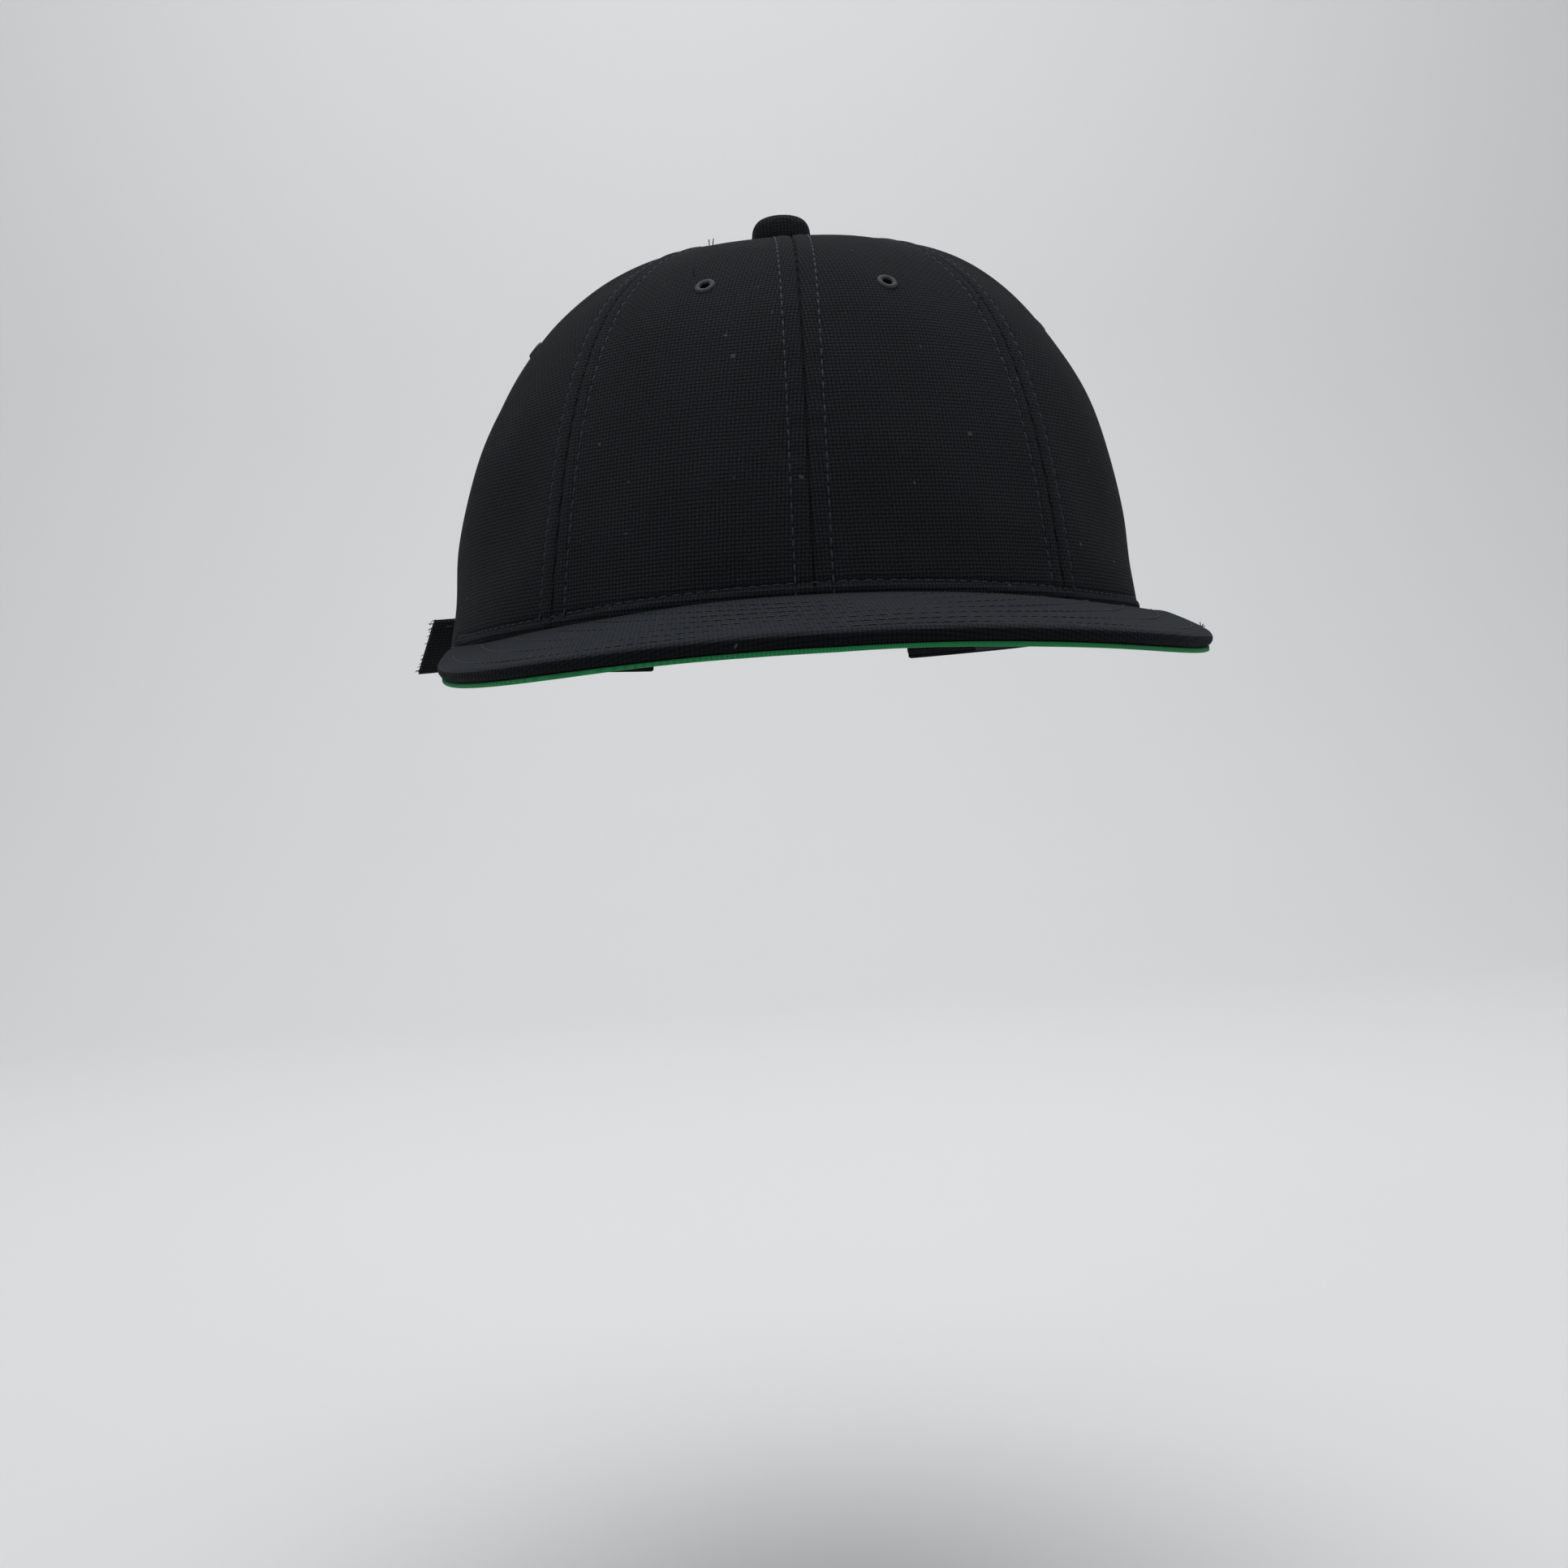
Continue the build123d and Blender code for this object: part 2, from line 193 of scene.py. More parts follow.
def cloth(name, dark, light, pitch=WEAVE_PITCH, sheen=0.012, depth=0.25, tint=(0.6, 0.68, 0.8), lint=True):
    """Woven cloth: threads and raised yarn lighter on top and darker in the weave's hollows, as painted light
    and shade; uneven dye, fuzz and a few pale specks of lint.
    """
    graph = Graph(name, 0.92, sheen, sheen_tint=tint, specular=0.07)
    vector, height = weave(graph, pitch)
    place = graph.place()
    patches = graph.noise(place, 38, 4, 0.6)
    yarn = graph.noise(vector, 1400, 2, 0.7)
    slubs = graph.plus(streaks(graph, vector, 0.07, 1, 620), streaks(graph, vector, 1, 0.07, 620))
    slubs = graph.ramp(slubs, (0.30, (0.25, 0.25, 0.25)), (0.70, (1, 1, 1)))
    # colour from the weave's height: painted shade in the hollows between threads, painted light on their
    # crests
    painted_weave_shading = graph.ramp(height, (0.18, (0, 0, 0)), (0.80, (1, 1, 1)))
    base = graph.mix(graph.times(painted_weave_shading, slubs), dark, tuple(1.22 * c for c in light))
    # yarn that the bump raises is made paler: painted light on the fuzz
    painted_yarn_and_weave_shading = graph.mix(graph.times(yarn, 0.45), base, tuple(1.7 * c for c in light))
    # darker patches at random are uneven dye, over the painted light and shade above
    wear_and_painted_shading = graph.mix(graph.times(patches, 0.4), painted_yarn_and_weave_shading, tuple(0.8 * c for c in dark))
    if lint:
        specks = graph.ramp(graph.noise(place, 420, 1, 0.4), (0.0, (0, 0, 0)), (0.79, (0, 0, 0)),
                            (0.815, (1, 1, 1)))
        wear_and_painted_shading = graph.mix(graph.times(specks, 0.22), wear_and_painted_shading, (0.22, 0.23, 0.24))
    graph.colour(wear_and_painted_shading)
    relief = graph.plus(height, graph.times(yarn, 0.35))
    graph.bump(relief, depth * MM, 0.9)
    return graph.material


def twill(name, dark, light, pitch=0.6 * MM):
    """Fine twill: slanting ribs, lighter on top and darker in the grooves as painted shade, with blotchy
    tone.
    """
    graph = Graph(name, 0.85, 0.04, specular=0.2)
    vector, u, v = graph.uv()
    slant = graph.math("DIVIDE", graph.plus(u, v), pitch)
    rib = graph.ridges(slant)
    yarn = graph.noise(vector, 1500, 2, 0.7)
    blotch = graph.noise(graph.place(), 30, 3)
    # ribs painted lighter and grooves darker: painted shade, mixed with random blotchy tone
    graph.colour(graph.mix(graph.times(graph.plus(rib, blotch), 0.5), dark, light))
    graph.bump(graph.plus(rib, graph.times(yarn, 0.4)), 0.12 * MM, 0.9)
    return graph.material


def thread(name, dark, light):
    """Twisted sewing thread."""
    graph = Graph(name, 0.65, 0.03, specular=0.25)
    place = graph.place()
    graph.colour(graph.mix(graph.noise(place, 900, 2), dark, light))
    graph.bump(graph.noise(place, 5200, 2, 0.6), 0.06 * MM, 0.8)
    return graph.material


def plastic(name, dark, light, roughness, scale, relief):
    """Moulded plastic with a fine spark-eroded texture and faint handling marks."""
    graph = Graph(name, roughness)
    place = graph.place()
    graph.colour(graph.mix(graph.noise(place, 40, 4), dark, light))
    graph.bump(graph.noise(place, scale, 3, 0.6), relief * MM, 0.7)
    marks = graph.plus(graph.times(graph.noise(place, 90, 5, 0.7), 0.25), roughness - 0.12)
    graph.put(graph.shader.inputs["Roughness"], marks)
    return graph.material


def foam(name):
    """Closed-cell foam: small pits under a slightly chalky skin, with painted shade towards the bottom of
    each pit.
    """
    graph = Graph(name, 0.95, 0.1)
    cells = graph.tree.nodes.new("ShaderNodeTexVoronoi")
    graph.tree.links.new(graph.place(), cells.inputs["Vector"])
    cells.inputs["Scale"].default_value = 900
    pits = cells.outputs["Distance"]
    blotch = graph.noise(graph.place(), 60, 4)
    # colour darker towards each pit's bottom: painted shade, mixed with random blotchy tone
    graph.colour(graph.mix(graph.times(graph.plus(pits, blotch), 0.6),
                           (0.022, 0.022, 0.024), (0.075, 0.075, 0.08)))
    graph.bump(pits, 0.25 * MM, 0.8)
    return graph.material


def metal(name, dark, light, roughness):
    """Plated metal, brushed and dulled in patches."""
    graph = Graph(name, roughness, 0.0, 1.0)
    place = graph.place()
    wear = graph.noise(place, 160, 5, 0.7)
    graph.colour(graph.mix(wear, dark, light))
    graph.put(graph.shader.inputs["Roughness"], graph.plus(graph.times(wear, 0.3), roughness - 0.1))
    graph.bump(graph.noise(place, 2400, 2), 0.02 * MM, 0.6)
    return graph.material


CROWN_CLOTH = cloth("crown_cloth", (0.0004, 0.0005, 0.0007), (0.0182, 0.0194, 0.0221))
# lighter than the crown's cloth: painted sheen where the light falls across the visor's top face
VISOR_PAINTED_SHEEN_CLOTH = cloth("visor_painted_sheen_cloth", (0.0030, 0.0037, 0.0050), (0.0170, 0.0200, 0.0245), sheen=0.05, depth=0.14)
# a darker copy of the visor's cloth: painted shade for the visor's rolled edge and underside, which face away
# from the light
EDGE_PAINTED_SHADE_CLOTH = cloth("visor_edge_painted_shade_cloth", (0.0006, 0.0007, 0.0010), (0.0062, 0.0068, 0.0080), depth=0.14)
GREEN_TWILL = twill("undervisor_twill", (0.007, 0.115, 0.034), (0.015, 0.24, 0.075))
BAND_TWILL = twill("sweatband_twill", (0.006, 0.0065, 0.008), (0.026, 0.028, 0.034))
TAPE_TWILL = twill("tape_twill", (0.008, 0.009, 0.011), (0.03, 0.032, 0.038), 0.9 * MM)
BACKING_FELT = twill("backing_felt", (0.25, 0.25, 0.24), (0.42, 0.42, 0.41), 1.3 * MM)
LABEL_WEAVE = twill("label_weave", (0.42, 0.42, 0.40), (0.62, 0.62, 0.59), 0.4 * MM)
STITCH_THREAD = thread("stitch_thread", (0.011, 0.0138, 0.0195), (0.027, 0.0335, 0.046))
GREEN_THREAD = thread("green_thread", (0.008, 0.12, 0.034), (0.018, 0.25, 0.08))
VISOR_THREAD = thread("visor_thread", (0.010, 0.012, 0.015), (0.022, 0.026, 0.032))
EYELET_THREAD = thread("eyelet_thread", (0.018, 0.020, 0.023), (0.050, 0.055, 0.060))
SHELL_PLASTIC = plastic("insert_abs", (0.010, 0.010, 0.011), (0.020, 0.020, 0.022), 0.45, 1500, 0.05)
BOARD_PLASTIC = plastic("board_polyethylene", (0.26, 0.28, 0.29), (0.36, 0.38, 0.39), 0.5, 700, 0.05)
PAD_FOAM = foam("pad_foam")
BRASS = metal("antique_brass", (0.16, 0.12, 0.065), (0.42, 0.33, 0.19), 0.38)
ZINC = metal("zinc_plate", (0.30, 0.31, 0.32), (0.52, 0.53, 0.55), 0.35)


# ---- the dome
def smooth(x):
    x = np.clip(x, 0, 1)
    return x * x * (3 - 2 * x)


def bell(x, centre, width):
    """1 at the centre, falling away over the width."""
    return np.exp(-((x - centre) / width) ** 2)


def dome(azimuth, turn, depth=0.0):
    """Points of the crown at azimuths in degrees from the front and turns from the rim to the apex."""
    azimuth, turn = np.broadcast_arrays(np.radians(azimuth), np.asarray(turn, float))
    spread = np.maximum(np.cos(turn * math.pi / 2), 0) ** (2 / PLAN_POWER)
    rise = np.sin(turn * math.pi / 2) ** (2 / RISE_POWER)
    radius = (HALF_WIDTH - depth) * spread * (1 - TAPER * rise)
    z = (SHOULDER - depth) * rise + CONE * (1 - spread) ** 2
    sx, sy = np.sin(azimuth), -np.cos(azimuth)
    reach = radius / np.hypot(sx, sy / STRETCH)
    lean = LEAN * rise ** 1.5
    return np.stack([sx * reach + lean, sy * reach, z], -1)


def slump(points):
    """Soft unevenness of the cloth, in metres, outward positive."""
    x, y, z = (points[..., i] / MM for i in range(3))
    upper = smooth((z - 25) / 60)
    waves = (0.55 * np.sin(x / 17 + y / 31 + 0.7) * np.sin(z / 19 + 0.4)
             + 0.4 * np.sin(y / 13 - x / 23 + 2.1) * np.sin(z / 11 + x / 40)
             + 0.25 * np.sin(x / 7.5 + z / 9 + 1.3) * np.sin(y / 8.5))
    hem = 0.35 * bell(z, 0, 9) * np.sin(np.arctan2(x, -y) * 13 + 0.5)
    lumps = sum(size * np.exp(-((x - cx) / wx) ** 2 - ((y - cy) / wy) ** 2 - ((z - cz) / wz) ** 2)
                for size, cx, wx, cy, wy, cz, wz in LUMPS)
    fold = (1.25 * np.sin((y * 0.55 + z * 0.8) / 9.5 + 0.4)
            * smooth((np.abs(x) - 55) / 20) * smooth((z - 8) / 20))
    return ((waves * (0.45 + 0.75 * upper) + hem + fold) * 0.78 + lumps) * MM


def junction(points):
    """Height at which the crown meets the visor's top face in front, and the rim elsewhere."""
    x, y = np.clip(points[..., 0], -VISOR_HALF, VISOR_HALF), points[..., 1]
    front = smooth((-y - 26 * MM) / (8 * MM))
    return np.maximum(visor_top(x, y), 0.3 * MM) * front


def turns_along(count, dense=0.16):
    """Turns spaced evenly up the crown's meridian, closer together near the hem."""
    table = np.linspace(0, 1, 6000) ** 3 * TOP_TURN
    walk = lengths(dome(90.0, table), 0)
    low = int(count * 0.3)
    share = np.concatenate([np.linspace(0, dense, low, endpoint=False), np.linspace(dense, 1, count - low)])
    return np.interp(share * walk[-1], walk, table)


def normals_of(grid):
    """Unit normals of a grid of points, outward from the crown's axis."""
    du = np.gradient(grid, axis=0)
    dv = np.gradient(grid, axis=1)
    normal = np.cross(du, dv)
    length = np.linalg.norm(normal, axis=-1, keepdims=True)
    normal = normal / np.maximum(length, 1e-12)
    centre = grid - np.array([0, 0, 0.02])
    flip = np.sign((normal * centre).sum(-1, keepdims=True))
    normal = normal * np.where(flip == 0, 1, flip)
    steep = length[..., 0] < 1e-10
    normal[steep] = (0, 0, 1)
    return normal


def crown_surface(azimuth, turn, depth=0.0, seam_distance=None):
    """The sewn crown's surface: dome, slump, and the welt and groove beside each seam."""
    base = dome(azimuth, turn)
    out = normals_of(base)
    lift = slump(base)
    rise = (base[..., 2] - junction(base)) / MM
    lift = lift + 0.55 * MM * bell(rise, 0.9, 0.75) - 0.35 * MM * bell(rise, 2.5, 0.5)
    if seam_distance is not None:
        near = seam_distance / MM
        lift = lift + 0.22 * MM * bell(near, 2.1, 1.6)
        lift = lift - 0.55 * MM * bell(near, 0, 0.28)
        lift = lift - 0.20 * MM * bell(near, WELT / MM, 0.55)
        level = (base[..., 2] - base[..., 1] * 0.6) / MM
        pucker = np.sin(level * 1.15 + 1.5 * np.sin(level / 7)) * (0.6 + 0.4 * np.sin(level / 13))
        lift = lift + 0.10 * MM * pucker * bell(near, 3.2, 2.6)
    lift = lift * smooth(np.hypot(base[..., 0], base[..., 1]) / 0.016)
    return base + out * (lift - depth)[..., None], out


def spot(azimuth, turn):
    """The crown's point and normal at one place."""
    points, outs = crown_surface(np.array([[azimuth - 1.0] * 3, [azimuth] * 3, [azimuth + 1.0] * 3]),
                                 np.array([[turn - 0.01, turn, turn + 0.01]] * 3))
    return points[1, 1], outs[1, 1]


def crown_line(azimuth, turn, seam_distance=None):
    """Points and normals along a line on the crown."""
    points, outs = crown_surface(np.stack([azimuth - 0.3, azimuth, azimuth + 0.3]), np.stack([turn] * 3),
                                 0.0, seam_distance)
    return points[1], outs[1]


# ---- mesh helpers
def add_object(name, data):
    obj = bpy.data.objects.new(name, data)
    scene.collection.objects.link(obj)
    return obj


def mesh_piece(name, verts, faces, material, uvs=None, smooth_shade=True):
    mesh = bpy.data.meshes.new(name)
    mesh.from_pydata([tuple(v) for v in verts], [], faces)
    if uvs is not None:
        layer = mesh.uv_layers.new(name="UVMap")
        loops = np.zeros(len(mesh.loops), int)
        mesh.loops.foreach_get("vertex_index", loops)
        layer.data.foreach_set("uv", np.asarray(uvs, float)[loops].ravel())
    mesh.polygons.foreach_set("use_smooth", [smooth_shade] * len(mesh.polygons))
    mesh.materials.append(material)
    mesh.validate()
    return add_object(name, mesh)


def closed_grid(name, outer, inner, material, uv):
    """A closed shell between two grids of points with the same shape."""
    rows, columns = outer.shape[:2]
    count = rows * columns
    verts = np.concatenate([outer.reshape(-1, 3), inner.reshape(-1, 3)])
    uvs = np.concatenate([uv.reshape(-1, 2)] * 2)
    faces = []
    for i in range(rows - 1):
        for j in range(columns - 1):
            a, d = i * columns + j, i * columns + j + 1
            b, c = a + columns, d + columns
            faces.append((a, b, c, d))
            faces.append((count + d, count + c, count + b, count + a))
    ring = ([i * columns for i in range(rows)] + [(rows - 1) * columns + j for j in range(1, columns)]
            + [i * columns + columns - 1 for i in range(rows - 2, -1, -1)] + list(range(columns - 2, 0, -1)))
    for a, b in zip(ring, ring[1:] + ring[:1]):
        faces.append((b, a, count + a, count + b))
    obj = mesh_piece(name, verts, faces, material, uvs)
    bpy.context.view_layer.objects.active = obj
    tidy = obj.modifiers.new("weld", "WELD")
    tidy.merge_threshold = WELD
    bake(obj)
    recalculate(obj)
    return obj


def recalculate(obj):
    """Turns obj's normals outward."""
    work = bmesh.new()
    work.from_mesh(obj.data)
    bmesh.ops.recalc_face_normals(work, faces=work.faces)
    work.to_mesh(obj.data)
    work.free()


def bake(obj):
    """Applies obj's modifiers to its mesh."""
    graph = bpy.context.evaluated_depsgraph_get()
    graph.update()
    made = bpy.data.meshes.new_from_object(obj.evaluated_get(graph))
    obj.modifiers.clear()
    obj.data = made
    made.name = obj.name


def unit(vectors):
    """Vectors scaled to length 1."""
    return vectors / np.maximum(np.linalg.norm(vectors, axis=-1, keepdims=True), 1e-9)


def lengths(grid, axis):
    """Running length along one axis of a grid, or along a line of points."""
    step = np.linalg.norm(np.diff(grid, axis=axis), axis=-1)
    return np.concatenate([np.zeros_like(np.take(step, [0], axis)), np.cumsum(step, axis)], axis)


def metres(grid):
    """A grid's UV map, in metres along both of its axes."""
    return np.stack([lengths(grid, 0), lengths(grid, 1)], -1)


def rounded(outer, inner, margin):
    """Draws a shell's two faces together near its edges, for a rolled edge."""
    near = np.minimum.reduce([lengths(outer, 0), lengths(outer[::-1], 0)[::-1],
                              lengths(outer, 1), lengths(outer[:, ::-1], 1)[:, ::-1]])
    share = np.sqrt(np.clip(1 - (1 - np.clip(near / margin, 0, 1)) ** 2, 0, 1))
    share = (0.12 + 0.88 * share)[..., None]
    middle = (outer + inner) / 2
    return middle + (outer - middle) * share, middle + (inner - middle) * share


def gather(parts):
    """Joins pairs of vertices and faces into one pair."""
    verts, faces = [], []
    for more, rings in parts:
        faces += [tuple(i + len(verts) for i in face) for face in rings]
        verts += more
    return verts, faces


def hose_faces(rings, sides):
    """Faces of a tube made of rings of vertices, with a cap at each end."""
    last = (rings - 1) * sides
    faces = [(a + k, a + (k + 1) % sides, a + (k + 1) % sides + sides, a + k + sides)
             for a in range(0, last, sides) for k in range(sides)]
    return faces + [tuple(reversed(range(sides))), tuple(range(last, last + sides))]


def torus_faces(rings, sides):
    """Faces of a closed ring made of closed rings of vertices."""
    return [(i * sides + k, i * sides + (k + 1) % sides, (i + 1) % rings * sides + (k + 1) % sides,
             (i + 1) % rings * sides + k) for i in range(rings) for k in range(sides)]


def stitch_run(points, outs, pitch=STITCH_PITCH, length=STITCH_LENGTH, radius=STITCH_RADIUS):
    """Vertices and faces of each stitch along a line of points, sunk at its two ends."""
    walk = lengths(points, 0)
    sides, rings = 6, 5
    start = pitch * 0.6
    while start + length < walk[-1]:
        jitter = rng.uniform(-0.08, 0.08) * pitch
        ends = [np.array([np.interp(start + jitter + k * length, walk, points[:, i]) for i in range(3)])
                for k in (0, 1)]
        out = np.array([np.interp(start, walk, outs[:, i]) for i in range(3)])
        along = ends[1] - ends[0]
        size = np.linalg.norm(along)
        if size > 1e-6:
            along = along / size
            side = unit(np.cross(out, along))
            slant = rng.uniform(-0.12, 0.12)
            verts = []
            for ring in range(rings):
                share = ring / (rings - 1)
                width = radius * (0.45 + 0.75 * math.sin(math.pi * share) ** 0.6)
                lift = radius * (1.15 * math.sin(math.pi * share) - 0.45)
                middle = ends[0] + along * size * share + out * lift + side * slant * radius * (2 * share - 1)
                for k in range(sides):
                    turn = 2 * math.pi * k / sides
                    verts.append(middle + (side * math.cos(turn) + out * math.sin(turn) * 0.8) * width)
            yield verts, hose_faces(rings, sides)
        start += pitch


def stitches(name, runs, material, body, slot, **size):
    """One piece holding several rows of stitches."""
    parts = (stitch for points, outs in runs for stitch in stitch_run(points, outs, **size))
    obj = mesh_piece(name, *gather(parts), material)
    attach(obj, body)


# ---- crown panels
def turn_at(z):
    """The turn whose dome point is at height z."""
    turns = np.linspace(0, 1, 6001) ** 3
    heights = dome(90.0, turns)[:, 2]
    return np.interp(z, heights, turns)


def arch_boundary(samples):
    """(azimuth, height) from the rim beside the arch, up its leg and over to the back centre."""
    back = np.linspace(BACK_SEAM, 180, 400)

    def bearing(x, z):
        return float(np.interp(-x, -dome(back, turn_at(z))[:, 0], back))

    outline = [(BACK_SEAM, 0.0)] + [(bearing(ARCH_HALF, z), z) for z in np.linspace(0, ARCH_LEG, 8)]
    for k in range(1, 25):
        angle = k / 24 * math.pi / 2
        x, z = ARCH_HALF * math.cos(angle), ARCH_LEG + ARCH_RISE * math.sin(angle)
        outline.append((bearing(x, z) if x > 1e-6 else 180.0, z))
    path = np.array(outline)
    walk = lengths(path * np.array([HALF_LENGTH * math.pi / 180, 1.0]), 0)
    wanted = np.linspace(0, walk[-1], samples)
    return np.stack([np.interp(wanted, walk, path[:, i]) for i in range(2)], 1)


def panel_grid(start, end, columns=120, rows=180, arch=False):
    """Azimuths and turns of one panel's grid, columns across and rows from the hem to the apex."""
    share = 0.5 - 0.5 * np.cos(np.linspace(0, math.pi, columns))[:, None]
    top = start + (end - start) * share
    if not arch:
        turn = turns_along(rows)[None, :] + 0 * share
        return top + 0 * turn, turn
    low = arch_boundary(columns)
    blend = smooth(np.linspace(0, 1.15, rows))[None, :]
    floor = lengths_at(turn_at(low[:, 1]))[:, None]
    turn = turn_for(floor + (lengths_at(TOP_TURN) - floor) * np.linspace(0, 1, rows)[None, :])
    return low[:, :1] * (1 - blend) + top * blend, turn


MERIDIAN = np.linspace(0, 1, 6000) ** 3
MERIDIAN_WALK = lengths(dome(90.0, MERIDIAN), 0)


def lengths_at(turn):
    return np.interp(turn, MERIDIAN, MERIDIAN_WALK)


def turn_for(length):
    return np.interp(length, MERIDIAN_WALK, MERIDIAN)


def cut_hole(obj, centre, normal, radius):
    bpy.ops.mesh.primitive_cylinder_add(vertices=24, radius=radius, depth=0.012)
    cutter = bpy.context.object
    turn = normal.to_track_quat("Z", "Y").to_matrix().to_4x4()
    cutter.matrix_world = Matrix.Translation(centre) @ turn
    hole = obj.modifiers.new("hole", "BOOLEAN")
    hole.operation, hole.object, hole.solver = "DIFFERENCE", cutter, "EXACT"
    bpy.context.view_layer.update()
    bake(obj)
    bpy.data.objects.remove(cutter)


def eyelet_place(name):
    """An eyelet's middle and the way it faces. The front left one sits a little low."""
    low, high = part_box(name)
    middle = (low + high) / 2
    azimuth = math.degrees(math.atan2(middle.x, -middle.y))
    drop = 1.6 if name == "front_eyelet_left" else 0.0
    point, out = spot(azimuth - drop * 0.6, turn_at((EYELET_HEIGHT - drop) * MM))
    return Vector(point), Vector(out)


def make_panel(name, start, end, mirror, arch, eyelet):
    azimuth, turn = panel_grid(start, end, arch=arch)
    azimuth = azimuth * mirror
    bare = dome(azimuth, turn)
    radius = np.hypot(bare[..., 0], bare[..., 1])
    edges = [radius * np.abs(np.sin(np.radians(azimuth - mirror * edge))) for edge in (start, end)]
    away = np.minimum(*edges)
    outer, out = crown_surface(azimuth, turn, 0.0, away)
    inner = outer - out * PANEL[1]
    hem_roll = np.clip(1 - lengths(outer, 1) / (1.6 * MM), 0, 1)[..., None]
    outer = outer - out * hem_roll ** 2 * 0.45 * MM
    centre = 0.5 * (start + end) * mirror
    u = radius * np.radians(azimuth - centre)
    v = lengths(bare, 1) + bare[:, :1, 2]
    obj = closed_grid(f"{name}_cloth", outer, inner, CROWN_CLOTH, np.stack([u, v], -1))
    place, out = eyelet_place(eyelet)
    cut_hole(obj, place, out, EYELET_HOLE)
    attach(obj, "crown")
    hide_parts(name)


def make_crown():
    for word, mirror in (("left", 1), ("right", -1)):
        make_panel(f"front_panel_{word}", 0, FRONT_SEAM, mirror, False, f"front_eyelet_{word}")
        make_panel(f"side_panel_{word}", FRONT_SEAM, BACK_SEAM, mirror, False, f"side_eyelet_{word}")
        make_panel(f"back_panel_{word}", BACK_SEAM, 180, mirror, True, f"rear_eyelet_{word}")


def seam_line(azimuth, offset, low=2 * MM, top=0.93, count=220):
    """Points and normals of a line that stays offset metres beside a seam."""
    turns = turn_for(np.linspace(lengths_at(turn_at(low)), lengths_at(top), count))
    radius = np.linalg.norm(dome(azimuth, turns)[:, :2], axis=1)
    bearing = azimuth + np.degrees(np.arcsin(np.clip(offset / np.maximum(radius, 0.012), -1, 1)))
    return crown_line(bearing, turns, np.full((3, count), abs(offset)))


def make_seam_stitches():
    seams = [(azimuth, 2 * MM) for azimuth in (0, FRONT_SEAM, -FRONT_SEAM, BACK_SEAM, -BACK_SEAM)]
    seams.append((180, ARCH_LEG + ARCH_RISE + 2 * MM))
    runs = [seam_line(azimuth, side * WELT, low) for azimuth, low in seams for side in (-1, 1)]
    stitches("seam_topstitching", runs, STITCH_THREAD, "crown", "crown_fabric")

    azimuth = np.linspace(-154, 154, 900)
    turn = turn_at(junction(dome(azimuth, turn_at(4 * MM))) + 2.5 * MM)
    points, outs = crown_surface(np.stack([azimuth] * 3, 1), turn[:, None] * np.array([[0.98, 1, 1.02]]))
    rows = [(points[:, 1], outs[:, 1])]
    edge = arch_boundary(260)
    edge = edge[edge[:, 1] > 0.5 * MM]
    for mirror in (1, -1):
        rim, out = crown_line(edge[:, 0] * mirror, turn_at(edge[:, 1]))
        side = unit(np.cross(out, np.gradient(rim, axis=0)))
        away = np.sign((side * (rim - np.array([0, HALF_LENGTH, ARCH_LEG]))).sum(1, keepdims=True))
        rows.append((rim + side * away * 3 * MM, out))
    stitches("hem_stitching", rows, STITCH_THREAD, "crown", "crown_fabric")


# ---- bands inside the crown
def band(name, node, azimuths, heights, depths, material, puff=0.0):
    """A curved band between two depths, over a range of azimuths and heights."""
    azimuth = np.linspace(*azimuths, max(24, int(abs(azimuths[1] - azimuths[0]) * 1.2)))[:, None]
    z = np.linspace(*heights, 26)[None, :]
    turn = turn_at(z) + 0 * azimuth
    azimuth = azimuth + 0 * turn
    outer, out = crown_surface(azimuth, turn, depths[0])
    inner = outer - out * (depths[1] - depths[0])
    if puff:
        roll = lengths(outer, 1)
        inner = inner + out * puff * np.sin(roll / roll.max() * math.pi * 5)[..., None]
    outer, inner = rounded(outer, inner, 1.2 * MM)
    uv = metres(outer)
    obj = closed_grid(name, outer, inner, material, uv)
    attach(obj, "crown")
    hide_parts(node)


